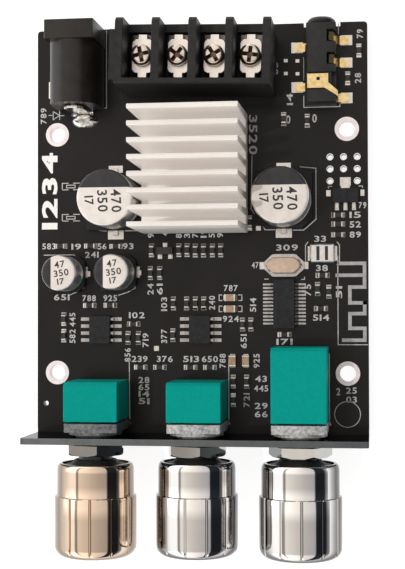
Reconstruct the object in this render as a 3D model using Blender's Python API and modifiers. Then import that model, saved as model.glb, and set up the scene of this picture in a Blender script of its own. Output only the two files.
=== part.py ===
"""Audio amplifier board: a populated circuit board with three control knobs on a front panel.

The row frame is the board's own. X runs along the panel, +Y points to the connector edge, and +Z points up
off the component side. The origin is the centre of the board's underside, so the knobs stand towards -Y.
"""

import math

import bmesh
import bpy
from mathutils import Matrix, Vector

MM = 0.001

# Clearances
SEAT = 0.3 * MM
SOLDER = 0.1 * MM
BITE = 0.2 * MM
CUT = 1.0 * MM

# Board
BOARD_X = 60.0 * MM
BOARD_Y = 73.0 * MM
BOARD_T = 1.6 * MM
BOARD_CORNER = 0.6 * MM
FIX_HOLE_D = 3.0 * MM
FIX_HOLE_PITCH_X = 52.6 * MM
FIX_HOLE_PITCH_Y = 43.4 * MM
FIX_HOLE_Y = -4.3 * MM
TOOL_HOLE_D = 1.0 * MM
TOOL_HOLE_INSET_X = 1.6 * MM
TOOL_HOLE_INSET_Y = 4.9 * MM
LINK_HOLE_D = 1.0 * MM
LINK_PITCH_X = 2.4 * MM
LINK_PITCH_Y = 2.15 * MM
LINK_X = 25.7 * MM
LINK_Y = 10.3 * MM
PIN_DROP = 1.4 * MM

TOP = BOARD_T
REAR = BOARD_Y / 2
FRONT = -BOARD_Y / 2

# Heatsink over the amplifier chip
SINK_X = -0.55 * MM
SINK_Y = 9.5 * MM
SINK_L = 18.7 * MM
SINK_W = 21.0 * MM
SINK_H = 16.8 * MM
SINK_BASE = 2.6 * MM
FIN_COUNT = 8
FIN_TIP = 0.8 * MM
FIN_ROOT = 1.3 * MM
FIN_ROUND = 0.25 * MM
CHIP_L = 11.0 * MM
CHIP_W = 6.1 * MM
CHIP_H = 1.1 * MM
PAD_SIDE = 12.0 * MM
PAD_T = 0.4 * MM

# Power inlet
INLET_X = -21.7 * MM
INLET_W = 8.8 * MM
INLET_BARREL_W = 8.4 * MM
INLET_L = 14.4 * MM
INLET_FLANGE_L = 3.3 * MM
INLET_H = 11.0 * MM
INLET_AXIS = 6.5 * MM
INLET_BORE = 6.4 * MM
INLET_DEPTH = 9.6 * MM
INLET_PIN_D = 2.1 * MM
INLET_OUT = -0.4 * MM
INLET_STRIP_T = 0.4 * MM

# Screw terminals
TERM_X = 0.45 * MM
TERM_Y = 29.1 * MM
TERM_SKEW = -1.6
TERM_POLES = 4
TERM_PITCH = 6.35 * MM
TERM_WALL = 1.4 * MM
TERM_D = 10.8 * MM
TERM_H = 14.0 * MM
TERM_RIDGE = 0.7 * MM
TERM_REAR_WALL = 1.0 * MM
TERM_LIP = 0.8 * MM
TERM_FLOOR = 6.0 * MM
TERM_LIP_H = 8.0 * MM
TERM_TONGUE = 1.35 * MM
TERM_TONGUE_H = 12.0 * MM
STRIP_T = 0.8 * MM
STRIP_W = 3.7 * MM
STRIP_BACK = 2.4 * MM
STRIP_TAIL_W = 1.8 * MM
TERM_LEG_W = 1.0 * MM
TERM_WELL = 1.6 * MM
TERM_SCREW_Y = 0.4 * MM
CLAMP_T = 0.8 * MM
CLAMP_W = 3.8 * MM
CLAMP_L = 6.0 * MM
CLAMP_TAB_W = 1.7 * MM
CLAMP_TAB_L = 0.8 * MM
CLAMP_TAIL_L = 0.8 * MM
SCREW_D = 2.5 * MM
SCREW_HEAD_D = 3.7 * MM
SCREW_HEAD_H = 1.6 * MM
SCREW_L = 5.6 * MM
CROSS_W = 0.55 * MM
CROSS_L = 2.6 * MM
CROSS_DEPTH = 0.9 * MM
SCREW_TURNS = (12.0, -38.0, 30.0, -8.0)

# Headphone-size audio socket
SOCKET_X = 21.98 * MM
SOCKET_W = 5.2 * MM
SOCKET_L = 13.9 * MM
SOCKET_H = 5.0 * MM
SOCKET_NOSE_D = 4.9 * MM
SOCKET_NOSE_L = 1.1 * MM
SOCKET_BORE = 3.6 * MM
SOCKET_DEPTH = 12.0 * MM
NOTCH_D = 0.75 * MM
NOTCH_SIDE = 0.65 * MM
LEAF_T = 0.2 * MM
LEAF_W = 1.5 * MM
LEAF_TOP_W = 2.5 * MM
LEAF_FOOT = 2.15 * MM
LEAF_TIP_BACK = 10.25 * MM
LEAF_TIP_FOOT = 12.55 * MM

# Electrolytic capacitors: diameter, height, base side
CAN_BIG = (10.0 * MM, 10.3 * MM, 10.3 * MM)
CAN_SMALL = (6.3 * MM, 7.6 * MM, 6.6 * MM)
CAN_BASE_T = 1.0 * MM
CAN_ROUND = 0.7 * MM
CAN_NECK = 0.35 * MM
CANS = (
    ("bulk_capacitor_left", CAN_BIG, -15.45 * MM, 4.9 * MM, 90.0),
    ("bulk_capacitor_right", CAN_BIG, 15.05 * MM, 4.9 * MM, -90.0),
    ("small_capacitor_left", CAN_SMALL, -24.25 * MM, -8.1 * MM, 0.0),
    ("small_capacitor_right", CAN_SMALL, -14.85 * MM, -7.95 * MM, 0.0),
)

# Crystal
CRYSTAL_X = 15.1 * MM
CRYSTAL_Y = -6.8 * MM
CRYSTAL_L = 7.2 * MM
CRYSTAL_W = 4.1 * MM
CRYSTAL_H = 2.6 * MM
CRYSTAL_RIM = 0.65 * MM
CRYSTAL_FLANGE_T = 0.5 * MM

# Gull-wing chips: length, width, height, leads a side, lead pitch, lead width, span over the leads
WIRELESS_CHIP = (8.65 * MM, 3.9 * MM, 1.5 * MM, 12, 0.635 * MM, 0.3 * MM, 6.0 * MM)
PREAMP_CHIP = (4.9 * MM, 3.9 * MM, 1.5 * MM, 4, 1.27 * MM, 0.45 * MM, 6.0 * MM)
AMP_CHIP = (CHIP_L, CHIP_W, CHIP_H, 16, 0.65 * MM, 0.25 * MM, 8.1 * MM)
WIRELESS_AT = (15.1 * MM, -13.65 * MM)
PREAMP_LEFT_AT = (-18.2 * MM, -18.2 * MM)
PREAMP_RIGHT_AT = (0.0 * MM, -18.2 * MM)
LEAD_T = 0.2 * MM
FEW_LEADS = 8

# Regulator and filter
REGULATOR_AT = (26.0 * MM, 5.5 * MM)
REGULATOR_SIZE = (4.5 * MM, 2.5 * MM, 1.5 * MM)
REGULATOR_LEAD = 1.0 * MM
FILTER_AT = (21.9 * MM, -4.7 * MM)
FILTER_SIZE = (4.4 * MM, 3.4 * MM, 1.1 * MM)

# Potentiometers, counted from the left
POT_PITCH = 18.0 * MM
POT_OFFSET = 0.2 * MM
POT_W = 9.5 * MM
POT_H = 11.2 * MM
POT_AXIS = 6.5 * MM
POT_DEPTHS = (6.9 * MM, 6.9 * MM, 12.9 * MM)
POT_CHAMFER = 0.6 * MM
POT_ROWS = (2, 2, 3)
POT_PIN = 0.7 * MM
POT_PIN_PITCH = 2.5 * MM
FRAME_T = 1.6 * MM
FRAME_BOSS_D = 9.4 * MM
FRAME_BOSS_T = 0.55 * MM
LUG_W = 1.2 * MM
LUG_T = 0.8 * MM
BUSH_D = 7.0 * MM
BUSH_OUT = 0.1 * MM
SHAFT_D = 6.0 * MM
ROTOR_WELL = 2.0 * MM
SHAFT_SLOT = 1.0 * MM
SHAFT_SLOT_L = 6.0 * MM
SHAFT_OUT = 12.3 * MM
NUT_AF = 9.5 * MM
NUT_T = 1.8 * MM
NUT_TURNS = (-14.0, -13.0, 32.0)

# Front panel
PANEL_T = 1.1 * MM
PANEL_UP = 12.4 * MM
PANEL_CORNER = 0.5 * MM

# Knobs
KNOB_L = 16.2 * MM
KNOB_STANDOFFS = (3.55 * MM, 3.1 * MM, 3.2 * MM)
KNOB_D = 14.3 * MM
KNOB_COLLAR_D = 13.5 * MM
KNOB_COLLAR_L = 5.6 * MM
KNOB_ROUND = 1.8 * MM
KNOB_REAR_ROUND_L = 1.2 * MM
KNOB_REAR_ROUND_R = 0.5 * MM
KNOB_WALL = 0.9 * MM
KNOB_CAP = 1.4 * MM
KNOB_FLUTES = 12
KNOB_FLUTE_W = 0.8 * MM
KNOB_TURNS = (4.0, -9.0, 4.7)
CORE_BOSS_D = 9.0 * MM
CORE_DISC_T = 1.6 * MM
CORE_DISC_IN = 0.3 * MM
CORE_OUT = 0.6 * MM
CORE_LIP = 0.4 * MM

SEGMENTS = 24
HOLE_SEGMENTS = 14
KNOB_SEGMENTS = 36
SMALL_SEGMENTS = 18
PIN_SEGMENTS = 8

# Places that follow from the sizes above
TERM_LEG_Y = -TERM_D / 2 + TERM_REAR_WALL + SEAT + STRIP_T / 2
PANEL_BACK = FRONT - SEAT
PANEL_FRONT = PANEL_BACK - PANEL_T
FRAME_FRONT = PANEL_BACK + SEAT
FRAME_FACE = FRAME_FRONT + FRAME_BOSS_T
FRAME_BACK = FRAME_FACE + FRAME_T
NUT_BACK = PANEL_FRONT - SEAT
NUT_FRONT = NUT_BACK - NUT_T
BUSH_END = NUT_FRONT - BUSH_OUT
SHAFT_END = PANEL_FRONT - SHAFT_OUT
SHAFT_IN_KNOB = SHAFT_OUT - min(KNOB_STANDOFFS)
AXIS_Z = TOP + POT_AXIS

MATERIALS = {}
PARTS = None
CUTTERS = None


def clear_scene():
    for obj in list(bpy.data.objects):
        bpy.data.objects.remove(obj, do_unlink=True)


def new_collection(name):
    made = bpy.data.collections.new(name)
    bpy.context.scene.collection.children.link(made)
    return made


def make_material(name, color, roughness, metallic=0.0):
    made = bpy.data.materials.new(name)
    made.use_nodes = True
    shader = made.node_tree.nodes["Principled BSDF"]
    shader.inputs["Base Color"].default_value = (*color, 1.0)
    shader.inputs["Roughness"].default_value = roughness
    shader.inputs["Metallic"].default_value = metallic
    MATERIALS[name] = made


def make_materials():
    make_material("solder_mask", (0.012, 0.012, 0.014), 0.4)
    make_material("black_plastic", (0.02, 0.02, 0.021), 0.5)
    make_material("chip_epoxy", (0.03, 0.03, 0.032), 0.55)
    make_material("bare_aluminium", (0.86, 0.85, 0.82), 0.35, 1.0)
    make_material("can_aluminium", (0.85, 0.84, 0.82), 0.3, 1.0)
    make_material("tinned", (0.8, 0.79, 0.77), 0.3, 1.0)
    make_material("gold", (0.9, 0.68, 0.32), 0.3, 1.0)
    make_material("crystal_can", (0.86, 0.74, 0.66), 0.3, 1.0)
    make_material("thermal_compound", (0.75, 0.75, 0.73), 0.8)
    make_material("green_plastic", (0.0, 0.27, 0.22), 0.4)
    make_material("zinc", (0.55, 0.54, 0.55), 0.35, 1.0)
    make_material("panel_metal", (0.16, 0.17, 0.18), 0.3, 0.8)
    make_material("chrome", (0.85, 0.83, 0.8), 0.08, 1.0)


def place(obj, name, material, parent=None):
    """Names a solid, gives it its material and its parent, and shades it smooth up to sharp edges."""
    obj.name = name
    obj.data.name = name
    obj.data.materials.clear()
    obj.data.materials.append(MATERIALS[material])
    obj.parent = parent
    PARTS.objects.link(obj)
    shade(obj)
    return obj


def shade(obj):
    obj.data.shade_smooth()
    obj.data.set_sharp_from_angle(angle=math.radians(35))


def as_cutter(obj, name, group=None):
    obj.name = name
    obj.hide_render = True
    obj.display_type = "WIRE"
    (group or CUTTERS).objects.link(obj)
    return obj


def cutter_group(name):
    made = bpy.data.collections.new(name)
    made.hide_render = True
    CUTTERS.children.link(made)
    return made


def object_of(bm, name="shape"):
    mesh = bpy.data.meshes.new(name)
    bm.to_mesh(mesh)
    bm.free()
    return bpy.data.objects.new(name, mesh)


def box(low, high):
    """A box between two corners."""
    low = Vector(low)
    high = Vector(high)
    bm = bmesh.new()
    matrix = Matrix.Translation((low + high) / 2) @ Matrix.Diagonal((*(high - low), 1.0))
    bmesh.ops.create_cube(bm, size=1.0, matrix=matrix)
    return object_of(bm)


def cylinder(diameter, start, end, segments=SEGMENTS, turn=0.0):
    """A round bar between two points."""
    start = Vector(start)
    end = Vector(end)
    axis = end - start
    turned = axis.to_track_quat("Z", "Y").to_matrix().to_4x4() @ Matrix.Rotation(turn, 4, "Z")
    bm = bmesh.new()
    bmesh.ops.create_cone(
        bm,
        cap_ends=True,
        segments=segments,
        radius1=diameter / 2,
        radius2=diameter / 2,
        depth=axis.length,
        matrix=Matrix.Translation((start + end) / 2) @ turned,
    )
    return object_of(bm)


def turned(profile, segments=SEGMENTS):
    """A body of revolution about Z from (radius, height) points, listed down the outer side."""
    bm = bmesh.new()
    points = [bm.verts.new((radius, 0.0, height)) for radius, height in profile]
    for a, b in zip(points, points[1:]):
        bm.edges.new((a, b))
    obj = object_of(bm)
    screw = obj.modifiers.new("revolve", "SCREW")
    screw.angle = math.tau
    screw.steps = segments
    screw.render_steps = segments
    screw.use_merge_vertices = True
    screw.merge_threshold = 0.00001
    screw.use_smooth_shade = True
    return obj


def plate(outline, thickness, matrix=Matrix.Identity(4)):
    """A flat outline in its own XY plane, thickness rising from it along local +Z, as a closed mesh."""
    curve = bpy.data.curves.new("outline", "CURVE")
    curve.dimensions = "2D"
    curve.fill_mode = "BOTH"
    curve.extrude = thickness / 2
    spline = curve.splines.new("POLY")
    spline.points.add(len(outline) - 1)
    for point, (x, y) in zip(spline.points, outline):
        point.co = (x, y, 0.0, 1.0)
    spline.use_cyclic_u = True
    drawn = bpy.data.objects.new("outline", curve)
    PARTS.objects.link(drawn)
    bpy.context.view_layer.update()
    graph = bpy.context.evaluated_depsgraph_get()
    mesh = bpy.data.meshes.new_from_object(drawn.evaluated_get(graph))
    bpy.data.objects.remove(drawn, do_unlink=True)
    bpy.data.curves.remove(curve)
    bm = bmesh.new()
    bm.from_mesh(mesh)
    bpy.data.meshes.remove(mesh)
    bmesh.ops.remove_doubles(bm, verts=bm.verts, dist=0.000001)
    bmesh.ops.dissolve_limit(bm, angle_limit=0.001, verts=bm.verts, edges=bm.edges)
    lift = Matrix.Translation((0.0, 0.0, thickness / 2))
    bmesh.ops.transform(bm, matrix=matrix @ lift, verts=bm.verts)
    bmesh.ops.recalc_face_normals(bm, faces=bm.faces)
    return object_of(bm)


def along_x(start):
    """Takes an outline drawn in (y, z) and raises it along +X from the start."""
    return Matrix(((0, 0, 1, start), (1, 0, 0, 0), (0, 1, 0, 0), (0, 0, 0, 1)))


def along_y(start):
    """Takes an outline drawn in (x, z) and raises it along -Y from the start."""
    return Matrix(((1, 0, 0, 0), (0, 0, -1, start), (0, 1, 0, 0), (0, 0, 0, 1)))


def along_z(start):
    """Takes an outline drawn in (x, y) and raises it along +Z from the start."""
    return Matrix.Translation((0, 0, start))


def arc(centre, radius, first, last, steps):
    """Points on a circle between two angles in degrees."""
    made = []
    for step in range(steps + 1):
        angle = math.radians(first + (last - first) * step / steps)
        made.append((centre[0] + radius * math.cos(angle), centre[1] + radius * math.sin(angle)))
    return made


def rounded_rectangle(x0, y0, x1, y1, radius, steps=4):
    corners = ((x1, y1, 0), (x0, y1, 90), (x0, y0, 180), (x1, y0, 270))
    made = []
    for x, y, first in corners:
        centre = (x - radius if x == x1 else x + radius, y - radius if y == y1 else y + radius)
        made += arc(centre, radius, first, first + 90, steps)
    return made


def strip_outline(path, thickness):
    """The outline of a bent strip that follows a path, with half its thickness to each side."""
    path = [Vector(point) for point in path]
    left = []
    right = []
    for i, point in enumerate(path):
        before = (point - path[i - 1]).normalized() if i else (path[1] - point).normalized()
        after = (path[i + 1] - point).normalized() if i < len(path) - 1 else before
        middle = (before + after).normalized()
        normal = Vector((-middle.y, middle.x))
        reach = thickness / 2 / max(0.4, normal.dot(Vector((-before.y, before.x))))
        left.append(tuple(point + normal * reach))
        right.append(tuple(point - normal * reach))
    return left + right[::-1]


def combine(obj, other, name, operation="DIFFERENCE"):
    """Cuts a helper out of a solid, or joins it on. The helper may be one mesh or a group of them."""
    step = obj.modifiers.new(name, "BOOLEAN")
    step.operation = operation
    step.solver = "EXACT"
    if isinstance(other, bpy.types.Collection):
        step.operand_type = "COLLECTION"
        step.collection = other
    else:
        step.object = other


def cut(obj, cutter, name):
    as_cutter(cutter, f"{obj.name}_{name}")
    cutter.parent = obj.parent
    combine(obj, cutter, name)


def join(obj, added, name):
    as_cutter(added, f"{obj.name}_{name}")
    added.parent = obj.parent
    combine(obj, added, name, "UNION")


def bevel(obj, width, segments=2, angle=40.0):
    step = obj.modifiers.new("rounded edges", "BEVEL")
    step.width = width
    step.segments = segments
    step.limit_method = "ANGLE"
    step.angle_limit = math.radians(angle)
    step.use_clamp_overlap = True


def turn_to_y(obj, x, y, z, angle=0.0):
    """Lays a turned piece on its side, so that its own +Z points towards -Y."""
    obj.location = (x, y, z)
    obj.rotation_euler = (math.radians(90), math.radians(angle), 0.0)


def pot_x(index):
    return POT_OFFSET + (index - 1) * POT_PITCH


def pot_back(index):
    return FRAME_BACK + SEAT + POT_DEPTHS[index]


def pot_pins(index):
    """Centres of one potentiometer's solder pins: rows of three across its width."""
    made = []
    for row in range(POT_ROWS[index]):
        y = FRAME_BACK + SEAT + POT_PIN_PITCH * (0.7 + 1.5 * row)
        for column in (-1, 0, 1):
            made.append((pot_x(index) + column * POT_PIN_PITCH, y))
    return made


def frame_lugs(index):
    """Centres of the two lugs that hold one potentiometer's frame to the board."""
    y = FRAME_BACK - FRAME_T / 2
    return [(pot_x(index) + side * (POT_W / 2 - LUG_W / 2), y) for side in (-1, 1)]


def cell_x(pole):
    return (pole - (TERM_POLES - 1) / 2) * TERM_PITCH


def terminal_point(x, y):
    """A place in the terminal block's own frame, in the board's frame."""
    turned_by = Matrix.Rotation(math.radians(TERM_SKEW), 2)
    return turned_by @ Vector((x, y)) + Vector((TERM_X, TERM_Y))


def inlet_pins():
    """Centres and sizes of the power inlet's three solder tails."""
    back = REAR + INLET_OUT - INLET_L
    return {
        "rear": (INLET_X, back - SEAT - INLET_STRIP_T / 2, 3.4 * MM, INLET_STRIP_T),
        "sleeve": (INLET_X, back + 5.6 * MM, 2.4 * MM, INLET_STRIP_T),
        "side": (
            INLET_X - INLET_BARREL_W / 2 - SEAT - INLET_STRIP_T / 2,
            back + 3.0 * MM,
            INLET_STRIP_T,
            3.0 * MM,
        ),
    }


def link_holes():
    """A three by three field of small holes with the middle one of its lowest row left out."""
    made = []
    for row in (-1, 0, 1):
        for column in (-1, 0, 1):
            if (row, column) != (-1, 0):
                made.append((LINK_X + column * LINK_PITCH_X, LINK_Y + row * LINK_PITCH_Y))
    return made


def board_outline():
    half = BOARD_X / 2
    notch = SOCKET_W / 2 + NOTCH_SIDE
    notch_y = REAR - NOTCH_D
    outline = rounded_rectangle(-half, FRONT, half, REAR, BOARD_CORNER)
    quarter = len(outline) // 4
    mouth = [
        (SOCKET_X + notch, REAR),
        (SOCKET_X + notch, notch_y),
        (SOCKET_X - notch, notch_y),
        (SOCKET_X - notch, REAR),
    ]
    return outline[:quarter] + mouth + outline[quarter:]


def build_board():
    board = place(plate(board_outline(), BOARD_T), "circuit_board", "solder_mask")
    holes = cutter_group("board_holes")

    def drill(diameter, x, y, segments):
        bar = cylinder(diameter, (x, y, -CUT), (x, y, TOP + CUT), segments)
        as_cutter(bar, "board_hole", holes)

    for side in (-1, 1):
        for end in (-1, 1):
            y = FIX_HOLE_Y + end * FIX_HOLE_PITCH_Y / 2
            drill(FIX_HOLE_D, side * FIX_HOLE_PITCH_X / 2, y, HOLE_SEGMENTS)
    drill(TOOL_HOLE_D, -BOARD_X / 2 + TOOL_HOLE_INSET_X, FRONT + TOOL_HOLE_INSET_Y, PIN_SEGMENTS)
    for x, y in link_holes():
        drill(LINK_HOLE_D, x, y, PIN_SEGMENTS)
    for index in range(3):
        for x, y in pot_pins(index):
            drill(POT_PIN * math.sqrt(2) + 2 * SEAT, x, y, PIN_SEGMENTS)
        for x, y in frame_lugs(index):
            drill(math.hypot(LUG_W, LUG_T) + 2 * SEAT, x, y, PIN_SEGMENTS)
    for pole in range(TERM_POLES):
        x, y = terminal_point(cell_x(pole), TERM_LEG_Y)
        drill(math.hypot(TERM_LEG_W, STRIP_T) + 2 * SEAT, x, y, PIN_SEGMENTS)
    for x, y, wide, deep in inlet_pins().values():
        low = (x - wide / 2 - SEAT, y - deep / 2 - SEAT, -CUT)
        high = (x + wide / 2 + SEAT, y + deep / 2 + SEAT, TOP + CUT)
        as_cutter(box(low, high), "board_slot", holes)
    combine(board, holes, "holes")


def fin_outline():
    """The heatsink's end view in (y, z): a base with tapered fins that end in rounded tips."""
    bottom = TOP + SOLDER + CHIP_H + SEAT + PAD_T + SEAT
    deck = bottom + SINK_BASE
    tip = bottom + SINK_H
    left = SINK_Y - SINK_W / 2
    pitch = (SINK_W - FIN_ROOT) / (FIN_COUNT - 1)
    outline = [(left + SINK_W, bottom), (left + SINK_W, deck)]
    for fin in reversed(range(FIN_COUNT)):
        centre = left + FIN_ROOT / 2 + fin * pitch
        if fin < FIN_COUNT - 1:
            outline.append((centre + FIN_ROOT / 2, deck))
        outline.append((centre + FIN_TIP / 2, tip - FIN_ROUND))
        outline.append((centre + FIN_TIP / 2 - FIN_ROUND, tip))
        outline.append((centre - FIN_TIP / 2 + FIN_ROUND, tip))
        outline.append((centre - FIN_TIP / 2, tip - FIN_ROUND))
        outline.append((centre - FIN_ROOT / 2, deck))
    outline.append((left, bottom))
    return outline


def build_cooling():
    sink = plate(fin_outline(), SINK_L, along_x(SINK_X - SINK_L / 2))
    place(sink, "heatsink", "bare_aluminium")
    low = TOP + SOLDER + CHIP_H + SEAT
    half = PAD_SIDE / 2
    pad = box((SINK_X - half, SINK_Y - half, low), (SINK_X + half, SINK_Y + half, low + PAD_T))
    place(pad, "thermal_pad", "thermal_compound")
    gull_chip("amplifier_chip", AMP_CHIP, (SINK_X, SINK_Y))


def gull_chip(name, size, at):
    """A moulded chip, long in Y, with gull-wing leads on its long sides, plainly bent where they are many."""
    length, width, height, leads, pitch, lead_w, span = size
    x, y = at
    bottom = TOP + SOLDER
    lift = 0.1 * height
    draft = 0.06 * height
    end_view = [
        (x + width / 2 - draft, bottom + lift),
        (x + width / 2, bottom + height * 0.5),
        (x + width / 2 - draft, bottom + height),
        (x - width / 2 + draft, bottom + height),
        (x - width / 2, bottom + height * 0.5),
        (x - width / 2 + draft, bottom + lift),
    ]
    chip = plate(end_view, length, along_y(y + length / 2))
    place(chip, name, "chip_epoxy")
    group = cutter_group(f"{name}_leads")
    shoulder = width / 2 + (span - width) * 0.2
    knee = width / 2 + (span - width) * 0.27
    middle = bottom + height * 0.5
    foot = bottom + LEAD_T / 2
    for side in (-1, 1):
        path = [
            (x + side * (width / 2 - BITE), middle),
            (x + side * shoulder, middle),
            (x + side * knee, foot),
            (x + side * span / 2, foot),
        ]
        if leads > FEW_LEADS:
            del path[1]
        for lead in range(leads):
            along = y + (lead - (leads - 1) / 2) * pitch
            made = plate(strip_outline(path, LEAD_T), lead_w, along_y(along + lead_w / 2))
            as_cutter(made, f"{name}_lead", group)
    combine(chip, group, "leads", "UNION")


def build_inlet():
    mouth = REAR + INLET_OUT
    back = mouth - INLET_L
    floor = TOP + SEAT
    axis = TOP + INLET_AXIS
    half = INLET_BARREL_W / 2
    section = [(INLET_X - half, floor), (INLET_X + half, floor)]
    section += arc((INLET_X, axis), half, 0, 180, 12)
    housing = plate(section, INLET_L, along_y(mouth))
    place(housing, "dc_inlet_housing", "black_plastic")
    wide = INLET_W / 2
    flange = rounded_rectangle(INLET_X - wide, floor, INLET_X + wide, TOP + INLET_H, 0.35 * MM, 2)
    join(housing, plate(flange, INLET_FLANGE_L, along_y(mouth + BITE / 4)), "flange")
    centre = (INLET_X, mouth - INLET_DEPTH, axis)
    cut(housing, cylinder(INLET_BORE, centre, (INLET_X, mouth + CUT, axis), SMALL_SEGMENTS), "bore")
    tail_d = 1.2 * MM
    end = (INLET_X, mouth - INLET_DEPTH + CUT, axis)
    cut(housing, cylinder(tail_d + 2 * SEAT, (INLET_X, back - CUT, axis), end, PIN_SEGMENTS), "rivet hole")
    pins = inlet_pins()
    x, y, wide, deep = pins["sleeve"]
    low = (x - wide / 2 - SEAT, y - 1.2 * MM, floor - CUT)
    high = (x + wide / 2 + SEAT, mouth - 2.2 * MM, axis - 1.8 * MM)
    cut(housing, box(low, high), "spring well")

    pin_tip = mouth - 1.0 * MM
    pin_r = INLET_PIN_D / 2
    reach = pin_tip - (back - SEAT)
    profile = [
        (0.0, reach),
        (pin_r * 0.6, reach - 0.05 * MM),
        (pin_r, reach - 0.5 * MM),
        (pin_r, INLET_L - INLET_DEPTH + 2 * SEAT),
        (tail_d / 2, INLET_L - INLET_DEPTH + 2 * SEAT),
        (tail_d / 2, -INLET_STRIP_T / 2),
        (0.0, -INLET_STRIP_T / 2),
    ]
    x, y, wide, deep = pins["rear"]
    blade_top = axis + 1.6 * MM
    shoulder = TOP + 1.0 * MM
    blade = [
        (x - wide / 2, shoulder),
        (x - wide / 2, blade_top - 1.2 * MM),
        (x - wide / 4, blade_top),
        (x + wide / 4, blade_top),
        (x + wide / 2, blade_top - 1.2 * MM),
        (x + wide / 2, shoulder),
        (x + wide / 2 - 0.5 * MM, -PIN_DROP),
        (x - wide / 2 + 0.5 * MM, -PIN_DROP),
    ]
    tail = plate(blade, INLET_STRIP_T, along_y(y + deep / 2))
    place(tail, "dc_inlet_pin", "tinned")
    pin = turned(profile, 16)
    pin.location = (INLET_X, back - SEAT, axis)
    pin.rotation_euler = (math.radians(-90), 0.0, 0.0)
    join(tail, pin, "pin")

    x, y, wide, deep = pins["sleeve"]
    rise = axis - INLET_BORE / 2
    path = [
        (y, -PIN_DROP),
        (y, rise - 0.9 * MM),
        (y + 1.2 * MM, rise + 0.2 * MM),
        (y + 3.4 * MM, rise + 0.75 * MM),
        (mouth - 3.0 * MM, rise - 0.5 * MM),
    ]
    leaf = plate(strip_outline(path, INLET_STRIP_T), wide, along_x(x - wide / 2))
    place(leaf, "dc_inlet_sleeve_spring", "tinned")

    x, y, wide, deep = pins["side"]
    low = (x - wide / 2, y - deep / 2, -PIN_DROP)
    side_strip = box(low, (x + wide / 2, y + deep / 2, TOP + 5.2 * MM))
    place(side_strip, "dc_inlet_switch_contact", "tinned")
    bevel(side_strip, 0.1 * MM, 1)


def build_terminals():
    block = bpy.data.objects.new("terminal_block_frame", None)
    block.empty_display_size = 0.005
    block.location = (TERM_X, TERM_Y, TOP)
    block.rotation_euler = (0.0, 0.0, math.radians(TERM_SKEW))
    PARTS.objects.link(block)
    back = -TERM_D / 2
    lip = TERM_D / 2
    ridge = lip + TERM_RIDGE
    width = TERM_POLES * TERM_PITCH + TERM_WALL
    floor = SEAT
    side_view = [
        (back, floor),
        (lip, floor),
        (lip, TERM_LIP_H - 1.0 * MM),
        (ridge, TERM_LIP_H),
        (ridge, TERM_H - 0.6 * MM),
        (ridge - 0.6 * MM, TERM_H),
        (back + 0.3 * MM, TERM_H),
        (back, TERM_H - 0.3 * MM),
    ]
    housing = plate(side_view, width, along_x(-width / 2))
    place(housing, "terminal_housing", "black_plastic", block)
    tongue = box(
        (-width / 2 - TERM_TONGUE, back + 1.0 * MM, floor),
        (-width / 2 + BITE, lip - 1.0 * MM, TERM_TONGUE_H),
    )
    join(housing, tongue, "tongue")
    cells = cutter_group("terminal_cells")
    cell_w = TERM_PITCH - TERM_WALL
    for pole in range(TERM_POLES):
        x = cell_x(pole)
        low_x = x - cell_w / 2
        high_x = x + cell_w / 2
        leg = TERM_LEG_W / 2 + SEAT
        slot = STRIP_T / 2 + SEAT
        well_top = (x, TERM_SCREW_Y, TERM_FLOOR + CUT)
        shapes = [
            box((low_x, back + TERM_REAR_WALL, TERM_FLOOR), (high_x, lip - TERM_LIP, TERM_H + CUT)),
            box((low_x, 0.0, TERM_LIP_H), (high_x, ridge + CUT, TERM_H + 2 * CUT)),
            cylinder(SCREW_D + 2 * SEAT, (x, TERM_SCREW_Y, TERM_WELL), well_top, HOLE_SEGMENTS),
            box((x - leg, TERM_LEG_Y - slot, -CUT), (x + leg, TERM_LEG_Y + slot, TERM_FLOOR + CUT)),
        ]
        for shape in shapes:
            shape.parent = block
            as_cutter(shape, "terminal_cell", cells)
    combine(housing, cells, "cells")
    for pole in range(TERM_POLES):
        build_terminal(block, pole)


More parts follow.
